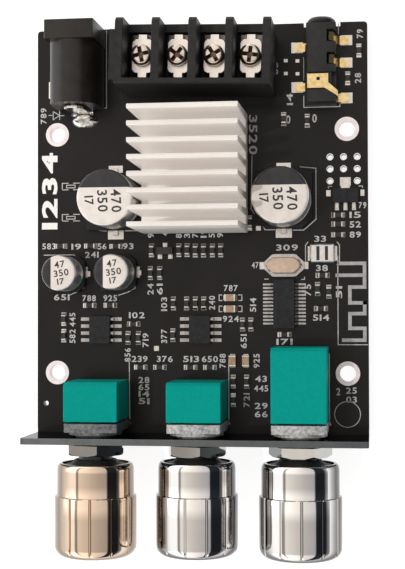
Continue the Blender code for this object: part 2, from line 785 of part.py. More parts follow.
def build_terminal(block, pole):
    """One pole: the contact strip with its solder pin, the clamping plate and its captive screw."""
    x = cell_x(pole)
    number = pole + 1
    back = -TERM_D / 2 + TERM_REAR_WALL + SEAT
    ahead = TERM_D / 2 - TERM_LIP - SEAT
    low = TERM_FLOOR + SEAT
    wide = STRIP_W / 2
    narrow = STRIP_TAIL_W / 2
    step = TERM_SCREW_Y - STRIP_BACK
    contact = box((x - wide, step, low), (x + wide, ahead, low + STRIP_T))
    place(contact, f"terminal_contact_{number}", "tinned", block)
    join(contact, box((x - narrow, back, low), (x + narrow, step + BITE, low + STRIP_T)), "tail")
    leg = box(
        (x - TERM_LEG_W / 2, back, -TOP - PIN_DROP),
        (x + TERM_LEG_W / 2, back + STRIP_T, low + STRIP_T / 2),
    )
    join(contact, leg, "leg")
    barrel_d = SCREW_D + 2 * SEAT
    middle = TERM_SCREW_Y
    through = (x, middle, low + STRIP_T + CUT)
    cut(contact, cylinder(barrel_d, (x, middle, low - CUT), through, HOLE_SEGMENTS), "thread")

    plate_low = low + STRIP_T + SEAT
    near = middle - CLAMP_L / 2
    far = middle + CLAMP_L / 2
    plate_high = plate_low + CLAMP_T
    clamp = box((x - CLAMP_W / 2, near, plate_low), (x + CLAMP_W / 2, far, plate_high))
    place(clamp, f"terminal_clamp_{number}", "tinned", block)
    tab = CLAMP_TAB_W / 2
    ends = (("tab", far - BITE, far + CLAMP_TAB_L), ("tail", near - CLAMP_TAIL_L, near + BITE))
    for name, start, end in ends:
        join(clamp, box((x - tab, start, plate_low), (x + tab, end, plate_high)), name)
    above = (x, middle, plate_high + CUT)
    eye = cylinder(barrel_d, (x, middle, plate_low - CUT), above, HOLE_SEGMENTS)
    cut(clamp, eye, "eye")

    head_low = plate_low + CLAMP_T + SEAT
    shank = SCREW_D / 2
    head = SCREW_HEAD_D / 2
    profile = [
        (0.0, head_low + SCREW_HEAD_H),
        (head * 0.75, head_low + SCREW_HEAD_H * 0.92),
        (head, head_low + SCREW_HEAD_H * 0.5),
        (head, head_low),
        (shank, head_low),
        (shank, head_low - SCREW_L),
        (0.0, head_low - SCREW_L),
    ]
    screw = turned(profile, SMALL_SEGMENTS)
    screw.location = (x, middle, 0.0)
    screw.rotation_euler = (0.0, 0.0, math.radians(SCREW_TURNS[pole]))
    place(screw, f"terminal_screw_{number}", "tinned", block)
    top = head_low + SCREW_HEAD_H
    for name, long_x, long_y in (("slot", CROSS_L, CROSS_W), ("cross", CROSS_W, CROSS_L)):
        blade = box((-long_x / 2, -long_y / 2, top - CROSS_DEPTH), (long_x / 2, long_y / 2, top + CUT))
        cut(screw, blade, name)
        blade.location = screw.location
        blade.rotation_euler = screw.rotation_euler


def build_socket():
    face = REAR - NOTCH_D - SEAT
    back = face - SOCKET_L
    floor = TOP + SEAT
    half = SOCKET_W / 2
    axis = floor + SOCKET_H / 2
    top = floor + SOCKET_H
    outline = rounded_rectangle(SOCKET_X - half, floor, SOCKET_X + half, top, 0.3 * MM, 2)
    housing = plate(outline, SOCKET_L, along_y(face))
    place(housing, "audio_socket_housing", "black_plastic")
    mouth = face + SOCKET_NOSE_L
    nose = cylinder(SOCKET_NOSE_D, (SOCKET_X, face - BITE, axis), (SOCKET_X, mouth, axis), SMALL_SEGMENTS)
    bevel(nose, 0.45 * MM, 1)
    join(housing, nose, "nose")
    start = (SOCKET_X, mouth - SOCKET_DEPTH, axis)
    cut(housing, cylinder(SOCKET_BORE, start, (SOCKET_X, mouth + CUT, axis), HOLE_SEGMENTS), "bore")
    windows = cutter_group("socket_windows")
    for _, side, y, top_window in socket_leaves(face):
        wide = LEAF_W / 2 + SEAT
        if top_window:
            low = (SOCKET_X - half - CUT, y - LEAF_TOP_W / 2 - SEAT, top - LEAF_T - SEAT)
            high = (SOCKET_X + half + CUT, y + LEAF_TOP_W / 2 + SEAT, top + CUT)
            corner = (SOCKET_X + half - 0.8 * MM, low[1], top - 1.9 * MM)
            as_cutter(box(corner, high), "socket_window", windows)
        elif side > 0:
            low = (SOCKET_X + half - 1.6 * MM, y - wide, floor - CUT)
            high = (SOCKET_X + half + CUT, y + wide, top + CUT)
        else:
            low = (SOCKET_X - half - CUT, y - wide, floor - CUT)
            high = (SOCKET_X - half + 0.8 * MM, y + wide, floor + 1.6 * MM)
        as_cutter(box(low, high), "socket_window", windows)
    combine(housing, windows, "windows")
    for name, side, y, top_window in socket_leaves(face):
        foot_z = TOP + SOLDER + LEAF_T / 2
        foot_x = SOCKET_X + side * (half + LEAF_FOOT)
        if top_window:
            path = [
                (SOCKET_X - half + 0.2 * MM, top - LEAF_T / 2),
                (SOCKET_X + half - 0.5 * MM, top - LEAF_T / 2),
                (SOCKET_X + half + SEAT + LEAF_T / 2, top - 1.1 * MM),
                (SOCKET_X + half + SEAT + LEAF_T / 2, top - 1.5 * MM),
            ]
            wide = LEAF_TOP_W
        elif side > 0:
            path = [
                (SOCKET_X + half - 1.3 * MM, top - 0.7 * MM),
                (SOCKET_X + half - 0.5 * MM, top - 1.3 * MM),
                (SOCKET_X + half - 0.1 * MM, foot_z + 0.8 * MM),
                (SOCKET_X + half + 0.5 * MM, foot_z),
                (foot_x, foot_z),
            ]
            wide = LEAF_W
        else:
            path = [
                (SOCKET_X - half + 0.5 * MM, floor + 1.3 * MM),
                (SOCKET_X - half + 0.2 * MM, foot_z + 0.4 * MM),
                (SOCKET_X - half - 0.4 * MM, foot_z),
                (foot_x, foot_z),
            ]
            wide = LEAF_W
        leaf = plate(strip_outline(path, LEAF_T), wide, along_y(y + wide / 2))
        place(leaf, name, "gold")
        if top_window:
            foot_y = face - LEAF_TIP_FOOT
            arm = [
                (y + wide / 2, top - 1.3 * MM),
                (y - wide / 2, top - 1.3 * MM),
                (foot_y - LEAF_W / 2, foot_z + LEAF_T / 2),
                (foot_y - LEAF_W / 2, foot_z - LEAF_T / 2),
                (foot_y + LEAF_W / 2, foot_z - LEAF_T / 2),
                (foot_y + LEAF_W / 2, foot_z + LEAF_T / 2),
            ]
            join(leaf, plate(arm, LEAF_T, along_x(SOCKET_X + half + SEAT)), "arm")
            low = (SOCKET_X + half + SEAT + LEAF_T / 2, foot_y - LEAF_W / 2, foot_z - LEAF_T / 2)
            high = (foot_x, foot_y + LEAF_W / 2, foot_z + LEAF_T / 2)
            join(leaf, box(low, high), "foot")


def socket_leaves(face):
    """Name, side, place along the socket and whether it lies over the top, for each contact."""
    return (
        ("audio_socket_ground", -1, face - 3.4 * MM, False),
        ("audio_socket_switch", -1, face - 10.5 * MM, False),
        ("audio_socket_ring", 1, face - 2.3 * MM, False),
        ("audio_socket_sleeve", 1, face - 6.3 * MM, False),
        ("audio_socket_tip", 1, face - LEAF_TIP_BACK, True),
    )


def build_cans():
    for name, (diameter, height, side), x, y, turn in CANS:
        frame = bpy.data.objects.new(f"{name}_frame", None)
        frame.empty_display_size = diameter / 2
        frame.location = (x, y, TOP)
        frame.rotation_euler = (0.0, 0.0, math.radians(turn))
        PARTS.objects.link(frame)
        radius = diameter / 2
        half = side / 2
        corner = side * 0.18
        outline = [
            (half, -half + corner),
            (half, half - corner),
            (half - corner, half),
            (-half, half),
            (-half, -half),
            (half - corner, -half),
        ]
        base = plate(outline, CAN_BASE_T, along_z(LEAD_T + SOLDER))
        place(base, f"{name}_base", "black_plastic", frame)
        lead = box((-half - 0.9 * MM, -0.5 * MM, SOLDER), (half + 0.9 * MM, 0.5 * MM, LEAD_T + SOLDER + BITE))
        join(base, lead, "leads")
        foot = LEAD_T + SOLDER + CAN_BASE_T + SEAT
        neck = foot + diameter * 0.13
        profile = [
            (0.0, height),
            (radius - CAN_ROUND, height),
            (radius - CAN_ROUND * 0.3, height - CAN_ROUND * 0.3),
            (radius, height - CAN_ROUND),
            (radius, neck + CAN_NECK),
            (radius - CAN_NECK, neck),
            (radius, neck - CAN_NECK),
            (radius, foot),
            (0.0, foot),
        ]
        place(turned(profile, SEGMENTS), f"{name}_can", "can_aluminium", frame)


def oval(length, width):
    """A long octagon-like oval with blunt ends, as a resonator can has."""
    half = width / 2
    end = length / 2
    return [
        (end, -half * 0.3),
        (end, half * 0.3),
        (end - half * 0.7, half * 0.95),
        (end - half, half),
        (-end + half, half),
        (-end + half * 0.7, half * 0.95),
        (-end, half * 0.3),
        (-end, -half * 0.3),
        (-end + half * 0.7, -half * 0.95),
        (-end + half, -half),
        (end - half, -half),
        (end - half * 0.7, -half * 0.95),
    ]


def build_crystal():
    low = TOP + SOLDER
    shift = Matrix.Translation((CRYSTAL_X, CRYSTAL_Y, low))
    crystal = plate(oval(CRYSTAL_L, CRYSTAL_W), CRYSTAL_FLANGE_T, shift)
    place(crystal, "crystal", "crystal_can")
    can = plate(oval(CRYSTAL_L - 2 * CRYSTAL_RIM, CRYSTAL_W - 2 * CRYSTAL_RIM), CRYSTAL_H, shift)
    bevel(can, 0.35 * MM, 2, 60)
    join(crystal, can, "can")


def build_small_parts():
    gull_chip("wireless_chip", WIRELESS_CHIP, WIRELESS_AT)
    gull_chip("preamp_chip_left", PREAMP_CHIP, PREAMP_LEFT_AT)
    gull_chip("preamp_chip_right", PREAMP_CHIP, PREAMP_RIGHT_AT)
    x, y = REGULATOR_AT
    length, width, height = REGULATOR_SIZE
    low = TOP + SOLDER
    body = box((x - length / 2, y - width / 2, low), (x + length / 2, y + width / 2, low + height))
    place(body, "regulator", "chip_epoxy")
    leads = cutter_group("regulator_leads")
    for column in (-1, 0, 1):
        lead_x = x + column * 1.5 * MM
        corner = (lead_x - 0.25 * MM, y - width / 2 - REGULATOR_LEAD, low)
        as_cutter(box(corner, (lead_x + 0.25 * MM, y, low + 2 * LEAD_T)), "regulator_lead", leads)
    tab = box((x - 0.8 * MM, y, low), (x + 0.8 * MM, y + width / 2 + 0.8 * MM, low + 2 * LEAD_T))
    as_cutter(tab, "regulator_tab", leads)
    combine(body, leads, "leads", "UNION")
    x, y = FILTER_AT
    length, width, height = FILTER_SIZE
    body = box((x - length / 2, y - width / 2, low), (x + length / 2, y + width / 2, low + height))
    bevel(body, 0.25 * MM, 1)
    place(body, "wireless_module_filter", "tinned")


def build_pot(index):
    """One control: housing with its pins, metal frame with threaded bush, shaft and nut."""
    number = index + 1
    x = pot_x(index)
    half = POT_W / 2
    low = TOP + SEAT
    high = TOP + POT_H
    front = FRAME_BACK + SEAT
    back = pot_back(index)
    side_view = [
        (front, low),
        (front, high),
        (back - POT_CHAMFER, high),
        (back, high - POT_CHAMFER),
        (back, low),
    ]
    housing = plate(side_view, POT_W, along_x(x - half))
    place(housing, f"pot_housing_{number}", "green_plastic")
    pins = cutter_group(f"pot_pins_{number}")
    for pin_x, pin_y in pot_pins(index):
        r = POT_PIN / 2
        pin = box((pin_x - r, pin_y - r, -PIN_DROP), (pin_x + r, pin_y + r, low + BITE))
        as_cutter(pin, "pot_pin", pins)
    combine(housing, pins, "pins", "UNION")
    well_end = (x, front + ROTOR_WELL, AXIS_Z)
    rotor = cylinder(SHAFT_D + 2 * SEAT, (x, front - CUT, AXIS_Z), well_end, SMALL_SEGMENTS)
    cut(housing, rotor, "rotor well")

    plate_outline = rounded_rectangle(x - half, low, x + half, high - 0.2 * MM, 0.5 * MM, 2)
    frame = plate(plate_outline, FRAME_T, along_y(FRAME_BACK))
    place(frame, f"pot_frame_{number}", "zinc")
    inside = (x, FRAME_FACE + BITE, AXIS_Z)
    join(frame, cylinder(FRAME_BOSS_D, inside, (x, FRAME_FRONT, AXIS_Z), SMALL_SEGMENTS), "boss")
    bush = cylinder(BUSH_D, inside, (x, BUSH_END, AXIS_Z), SMALL_SEGMENTS)
    join(frame, bush, "bush")
    lugs = cutter_group(f"pot_lugs_{number}")
    for lug_x, lug_y in frame_lugs(index):
        lug_low = (lug_x - LUG_W / 2, lug_y - LUG_T / 2, -PIN_DROP)
        lug_high = (lug_x + LUG_W / 2, lug_y + LUG_T / 2, low + 2 * CUT)
        as_cutter(box(lug_low, lug_high), "pot_lug", lugs)
    combine(frame, lugs, "lugs", "UNION")
    outside = (x, BUSH_END - CUT, AXIS_Z)
    bore = cylinder(SHAFT_D + 2 * SEAT, (x, FRAME_BACK + CUT, AXIS_Z), outside, SMALL_SEGMENTS)
    cut(frame, bore, "shaft bore")

    start = front + ROTOR_WELL - SEAT
    end = SHAFT_END
    reach = start - end
    radius = SHAFT_D / 2
    profile = [
        (0.0, reach),
        (radius - 0.4 * MM, reach),
        (radius, reach - 0.4 * MM),
        (radius, 0.0),
        (0.0, 0.0),
    ]
    shaft = turned(profile, SMALL_SEGMENTS)
    turn_to_y(shaft, x, start, AXIS_Z, KNOB_TURNS[index])
    place(shaft, f"pot_shaft_{number}", "zinc")
    low = (-radius - CUT, -SHAFT_SLOT / 2, reach - SHAFT_SLOT_L)
    slot = box(low, (radius + CUT, SHAFT_SLOT / 2, reach + CUT))
    cut(shaft, slot, "slot")
    slot.location = shaft.location
    slot.rotation_euler = shaft.rotation_euler

    corner_d = NUT_AF / math.cos(math.radians(30))
    turn = math.radians(NUT_TURNS[index])
    nut = cylinder(corner_d, (x, NUT_BACK, AXIS_Z), (x, NUT_FRONT, AXIS_Z), 6, turn)
    place(nut, f"pot_nut_{number}", "zinc")
    chamfer = [
        (0.0, NUT_T + 0.1 * MM),
        (NUT_AF / 2, NUT_T + 0.1 * MM),
        (corner_d / 2 + 0.3 * MM, NUT_T - 0.6 * MM),
        (corner_d / 2 + 0.3 * MM, -CUT),
        (0.0, -CUT),
    ]
    rounding = turned(chamfer, SMALL_SEGMENTS)
    turn_to_y(rounding, x, NUT_BACK, AXIS_Z)
    as_cutter(rounding, f"pot_nut_{number}_rounding")
    combine(nut, rounding, "corner chamfer", "INTERSECT")
    thread = (x, NUT_FRONT - CUT, AXIS_Z)
    cut(nut, cylinder(BUSH_D + 2 * SEAT, (x, NUT_BACK + CUT, AXIS_Z), thread, SMALL_SEGMENTS), "thread")


def build_panel():
    half = BOARD_X / 2
    outline = rounded_rectangle(-half, -PIN_DROP, half, TOP + PANEL_UP, PANEL_CORNER, 2)
    panel = plate(outline, PANEL_T, along_y(PANEL_BACK))
    place(panel, "front_panel", "panel_metal")
    holes = cutter_group("panel_holes")
    for index in range(3):
        x = pot_x(index)
        outside = (x, PANEL_FRONT - CUT, AXIS_Z)
        bar = cylinder(BUSH_D + 2 * SEAT, (x, PANEL_BACK + CUT, AXIS_Z), outside, SMALL_SEGMENTS)
        as_cutter(bar, "panel_hole", holes)
    combine(panel, holes, "bush holes")


def build_knob(index):
    """A hollow plated cap with broad flutes, and the black core that grips the shaft."""
    number = index + 1
    x = pot_x(index)
    rear = PANEL_FRONT - KNOB_STANDOFFS[index]
    collar = KNOB_COLLAR_D / 2
    outer = KNOB_D / 2
    inner = collar - KNOB_WALL
    edge = 0.3 * MM
    profile = [(0.0, KNOB_L), (outer - KNOB_ROUND, KNOB_L)]
    for step in (1, 2):
        angle = math.radians(90 - 45 * step)
        short = KNOB_ROUND * (1 - math.sin(angle))
        profile.append((outer - KNOB_ROUND * (1 - math.cos(angle)), KNOB_L - short))
    profile += [
        (outer, KNOB_COLLAR_L + edge),
        (collar, KNOB_COLLAR_L),
        (collar, KNOB_REAR_ROUND_L),
        (collar - KNOB_REAR_ROUND_R * 0.3, KNOB_REAR_ROUND_L * 0.3),
        (collar - KNOB_REAR_ROUND_R, 0.0),
        (inner, 0.0),
        (inner, KNOB_L - KNOB_CAP),
        (0.0, KNOB_L - KNOB_CAP),
    ]
    shell = turned(profile, KNOB_SEGMENTS)
    turn_to_y(shell, x, rear, AXIS_Z, KNOB_TURNS[index])
    place(shell, f"knob_{number}", "chrome")
    grooves = cutter_group(f"knob_grooves_{number}")
    for flute in range(KNOB_FLUTES):
        turn = Matrix.Rotation(math.tau * flute / KNOB_FLUTES, 4, "Z")
        groove = box(
            (collar, -KNOB_FLUTE_W / 2, KNOB_COLLAR_L - CUT),
            (outer + CUT, KNOB_FLUTE_W / 2, KNOB_L - KNOB_ROUND + 0.4 * MM),
        )
        groove.data.transform(turn)
        as_cutter(groove, "knob_groove", grooves)
        groove.location = shell.location
        groove.rotation_euler = shell.rotation_euler
    combine(shell, grooves, "grooves")

    grip = SHAFT_D / 2 + SEAT
    rim = inner - SEAT
    boss = CORE_BOSS_D / 2
    depth = SHAFT_IN_KNOB + SEAT
    far = KNOB_L - KNOB_CAP - SEAT
    core = [
        (0.0, far),
        (boss, far),
        (boss, CORE_DISC_IN + CORE_DISC_T),
        (rim, CORE_DISC_IN + CORE_DISC_T),
        (rim, CORE_DISC_IN),
        (boss, CORE_DISC_IN),
        (grip + CORE_LIP, -CORE_OUT),
        (grip, -CORE_OUT),
        (grip, depth),
        (0.0, depth),
    ]
    insert = turned(core, SMALL_SEGMENTS)
    turn_to_y(insert, x, rear, AXIS_Z, KNOB_TURNS[index])
    place(insert, f"knob_core_{number}", "black_plastic")


def main():
    global PARTS, CUTTERS
    clear_scene()
    PARTS = new_collection("audio_amplifier_board")
    CUTTERS = new_collection("cutters")
    CUTTERS.hide_render = True
    make_materials()
    build_board()
    build_cooling()
    build_inlet()
    build_terminals()
    build_socket()
    build_cans()
    build_crystal()
    build_small_parts()
    build_panel()
    for index in range(3):
        build_pot(index)
        build_knob(index)


main()
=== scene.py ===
"""Picture of the audio amplifier board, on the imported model's own frame.

X runs along the panel, +Y points to the connector edge and +Z up off the component side. All places are
in metres in that frame; the constants are in millimetres times MM.
"""

import math

import bmesh
import bpy
from mathutils import Matrix, Vector


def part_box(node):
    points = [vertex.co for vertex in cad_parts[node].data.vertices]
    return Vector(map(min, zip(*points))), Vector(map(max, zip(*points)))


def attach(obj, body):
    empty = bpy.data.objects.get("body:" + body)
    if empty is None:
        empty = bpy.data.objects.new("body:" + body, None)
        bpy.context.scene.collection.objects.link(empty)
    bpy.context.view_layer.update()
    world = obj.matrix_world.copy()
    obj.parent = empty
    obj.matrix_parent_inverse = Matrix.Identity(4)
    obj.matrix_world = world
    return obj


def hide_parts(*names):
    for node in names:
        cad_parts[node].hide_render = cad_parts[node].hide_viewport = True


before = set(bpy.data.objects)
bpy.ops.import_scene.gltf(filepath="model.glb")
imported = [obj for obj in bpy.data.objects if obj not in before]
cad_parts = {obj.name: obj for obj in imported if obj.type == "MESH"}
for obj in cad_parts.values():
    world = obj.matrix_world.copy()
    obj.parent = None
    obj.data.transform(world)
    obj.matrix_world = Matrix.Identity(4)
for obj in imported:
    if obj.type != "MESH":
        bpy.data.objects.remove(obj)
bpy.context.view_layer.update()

MM = 0.001
TOP = 1.6 * MM
INK = 0.03 * MM
TIN = 0.06 * MM
LOWEST = -1.4 * MM

POT_X = (-17.8 * MM, 0.2 * MM, 18.2 * MM)
AXIS_Z = 8.1 * MM
KNOB_TURNS = (4.0, -9.0, 4.7)

TERM_AT = (0.45 * MM, 29.1 * MM)
TERM_SKEW = -1.6
TERM_PITCH = 6.35 * MM
SCREW_TURNS = (12.0, -38.0, 30.0, -8.0)

SHADES = {}


# Materials

def new_tree(name):
    made = bpy.data.materials.new(name)
    made.use_nodes = True
    SHADES[name] = made
    return made.node_tree, made.node_tree.nodes["Principled BSDF"]


def set_inputs(target, values):
    """Sets inputs of a node by their name or number; a value that is a socket is linked."""
    for key, value in values.items():
        if isinstance(value, bpy.types.NodeSocket):
            target.id_data.links.new(value, target.inputs[key])
        else:
            target.inputs[key].default_value = value


def add_node(tree, kind, values):
    """A node with its inputs set; its outputs are returned."""
    made = tree.nodes.new(kind)
    set_inputs(made, values)
    return made.outputs


def noise(tree, scale, detail=2.0, stretch=(1.0, 1.0, 1.0)):
    """Procedural noise in the object's own coordinates, in metres; scale is in cycles per metre."""
    place = tree.nodes.new("ShaderNodeTexCoord").outputs["Object"]
    mapping = add_node(tree, "ShaderNodeMapping", {"Vector": place, "Scale": stretch})
    values = {"Vector": mapping["Vector"], "Scale": scale, "Detail": detail}
    return add_node(tree, "ShaderNodeTexNoise", values)["Fac"]


def ramp(tree, source, stops):
    """A colour ramp; stops are (place, colour)."""
    made = tree.nodes.new("ShaderNodeValToRGB")
    for element, (at, color) in zip(made.color_ramp.elements, (stops[0], stops[-1])):
        element.position = at
        element.color = (*color, 1.0)
    for at, color in stops[1:-1]:
        made.color_ramp.elements.new(at).color = (*color, 1.0)
    set_inputs(made, {"Fac": source})
    return made.outputs["Color"]


def between(tree, source, dark, light):
    """Two colours, blended by a noise around its middle."""
    return ramp(tree, source, ((0.3, dark), (0.7, light)))


def math_node(tree, operation, *values):
    made = tree.nodes.new("ShaderNodeMath")
    made.operation = operation
    set_inputs(made, dict(enumerate(values)))
    return made.outputs["Value"]


def map_range(tree, value, start, end, low, high):
    """A value carried from one range to another, and held at its ends."""
    values = {"Value": value, "From Min": start, "From Max": end, "To Min": low, "To Max": high}
    return add_node(tree, "ShaderNodeMapRange", values)["Result"]


def split_axes(tree, kind="Object"):
    """The coordinates of a kind, split into X, Y and Z."""
    place = tree.nodes.new("ShaderNodeTexCoord").outputs[kind]
    return add_node(tree, "ShaderNodeSeparateXYZ", {"Vector": place})


def mix_colors(tree, mask, first, second):
    """The second colour over the first by a mask, or the two multiplied where there is none."""
    mix = tree.nodes.new("ShaderNodeMix")
    mix.data_type = "RGBA"
    if mask is None:
        mix.blend_type = "MULTIPLY"
        mask = 1.0
    set_inputs(mix, {"Factor": mask, "A": first, "B": second})
    return mix.outputs["Result"]


def shade(
    name, dark, light, rough, metallic=0.0, scale=900.0, stretch=(1.0, 1.0, 1.0), specular=0.5,
    rough_light=None, grain=0.0,
):
    """A procedural finish: noise between two shades, with roughness and a fine grain that follow it."""
    tree, shader = new_tree(name)
    source = noise(tree, scale, 3.0, stretch)
    set_inputs(shader, {"Base Color": between(tree, source, dark, light), "Metallic": metallic})
    set_inputs(shader, {"Roughness": rough, "Specular IOR Level": specular})
    if rough_light is not None:
        set_inputs(shader, {"Roughness": between(tree, source, (rough,) * 3, (rough_light,) * 3)})
    if grain:
        values = {"Height": noise(tree, scale * 6.0, 2.0, stretch), "Strength": grain, "Distance": 0.05 * MM}
        set_inputs(shader, {"Normal": add_node(tree, "ShaderNodeBump", values)["Normal"]})
    return tree, shader


def shade_two(name, outside, body, metal, axis, centre, half):
    """Moulded body with metal leads: metal where a coordinate is further than half from a centre."""
    tree, shader = new_tree(name)
    away = math_node(tree, "SUBTRACT", split_axes(tree)[axis], centre)
    if outside == "both":
        away = math_node(tree, "ABSOLUTE", away)
    else:
        away = math_node(tree, "MULTIPLY", away, -1.0)
    mask = math_node(tree, "GREATER_THAN", away, half)
    source = noise(tree, 1500.0, 3.0)
    color = mix_colors(tree, mask, between(tree, source, *body[:2]), between(tree, source, *metal[:2]))
    rough = map_range(tree, mask, 0.0, 1.0, body[2], metal[2])
    set_inputs(shader, {"Base Color": color, "Metallic": mask, "Roughness": rough, "Specular IOR Level": 0.2})
    return shader


def shade_chrome_painted_edges(name, dark, light, rim):
    """Bright plating whose base colour is darkened towards a grazing angle, down to the share called rim:
    painted shade that stands for dark reflections along the edges.
    """
    tree, shader = new_tree(name)
    facing = add_node(tree, "ShaderNodeLayerWeight", {"Blend": 0.5})["Facing"]
    stops = ((0.25, 1.0), (0.40, rim + 0.3), (0.55, rim), (0.80, rim), (1.0, 0.5))
    # Painted reflection: the base colour falls to the rim share where the surface turns away from the view.
    painted_edge_shade = ramp(tree, facing, [(at, (share,) * 3) for at, share in stops])
    color = mix_colors(tree, None, between(tree, noise(tree, 250.0, 3.0), dark, light), painted_edge_shade)
    set_inputs(shader, {"Base Color": color, "Metallic": 1.0, "Roughness": 0.05})


def shade_can(name, x, y, top, big):
    """Drawn aluminium, whiter on its top, with the dark segment that marks the negative lead."""
    tree, shader = new_tree(name)
    axes = split_axes(tree)
    source = noise(tree, 700.0, 3.0)
    wall = between(tree, source, (0.60, 0.58, 0.57), (0.80, 0.78, 0.77))
    lid = between(tree, source, (0.60, 0.56, 0.525), (0.68, 0.64, 0.605))
    ink = between(tree, source, (0.014, 0.014, 0.016), (0.026, 0.025, 0.028))
    high = math_node(tree, "GREATER_THAN", axes["Z"], top - 0.12 * MM)
    upper = math_node(tree, "GREATER_THAN", axes["Z"], top - 0.3 * MM)
    if big:
        side = math_node(tree, "GREATER_THAN", axes["Y"], y + 1.75 * MM)
    else:
        side = math_node(tree, "LESS_THAN", axes["X"], x - 1.4 * MM)
    printed = math_node(tree, "MULTIPLY", upper, side)
    color = mix_colors(tree, printed, mix_colors(tree, high, wall, lid), ink)
    bare = math_node(tree, "SUBTRACT", 1.0, math_node(tree, "MAXIMUM", high, printed))
    set_inputs(shader, {"Base Color": color, "Metallic": math_node(tree, "MULTIPLY", bare, 0.9)})
    set_inputs(shader, {"Roughness": 0.3, "Specular IOR Level": 0.4})


def shade_filter(name, x, y):
    """Bright metal with two dark bars either side of its middle."""
    tree, shader = new_tree(name)
    axes = split_axes(tree)

    def distance(value, centre):
        return math_node(tree, "ABSOLUTE", math_node(tree, "SUBTRACT", value, centre))

    inside = math_node(tree, "LESS_THAN", distance(distance(axes["X"], x), 0.75 * MM), 0.28 * MM)
    along = math_node(tree, "LESS_THAN", distance(axes["Y"], y), 1.25 * MM)
    mask = math_node(tree, "MULTIPLY", inside, along)
    source = noise(tree, 1500.0, 3.0)
    metal = between(tree, source, (0.70, 0.69, 0.67), (0.88, 0.87, 0.85))
    dark = between(tree, source, (0.012, 0.012, 0.013), (0.022, 0.022, 0.024))
    bare = math_node(tree, "SUBTRACT", 1.0, mask)
    set_inputs(shader, {"Base Color": mix_colors(tree, mask, metal, dark), "Metallic": bare, "Roughness": 0.3})


def shade_sink():
    """Bare extruded aluminium with a faint warm glow on the faces between its fins: painted light that brightens
    the gaps.
    """
    tree, shader = shade(
        "sink_metal", (0.68, 0.65, 0.62), (0.77, 0.74, 0.71), 0.36, 0.1, 500.0,
        stretch=(0.12, 1.0, 1.0), rough_light=0.42, grain=0.05,
    )
    low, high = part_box("heatsink")
    axes = split_axes(tree)
    margin = 0.15 * MM
    mask = 1.0
    for test, axis, limit in (
        ("GREATER_THAN", "X", low[0] + margin), ("LESS_THAN", "X", high[0] - margin),
        ("GREATER_THAN", "Y", low[1] + margin), ("LESS_THAN", "Y", high[1] - margin),
        ("LESS_THAN", "Z", high[2] - margin),
    ):
        mask = math_node(tree, "MULTIPLY", math_node(tree, test, axes[axis], limit), mask)
    # Painted light: a faint warm emission on the faces that lie inside the outer faces of the heatsink's box.
    painted_gap_light = math_node(tree, "MULTIPLY", mask, 0.14)
    set_inputs(shader, {"Emission Color": (1.0, 0.92, 0.86, 1.0), "Emission Strength": painted_gap_light})


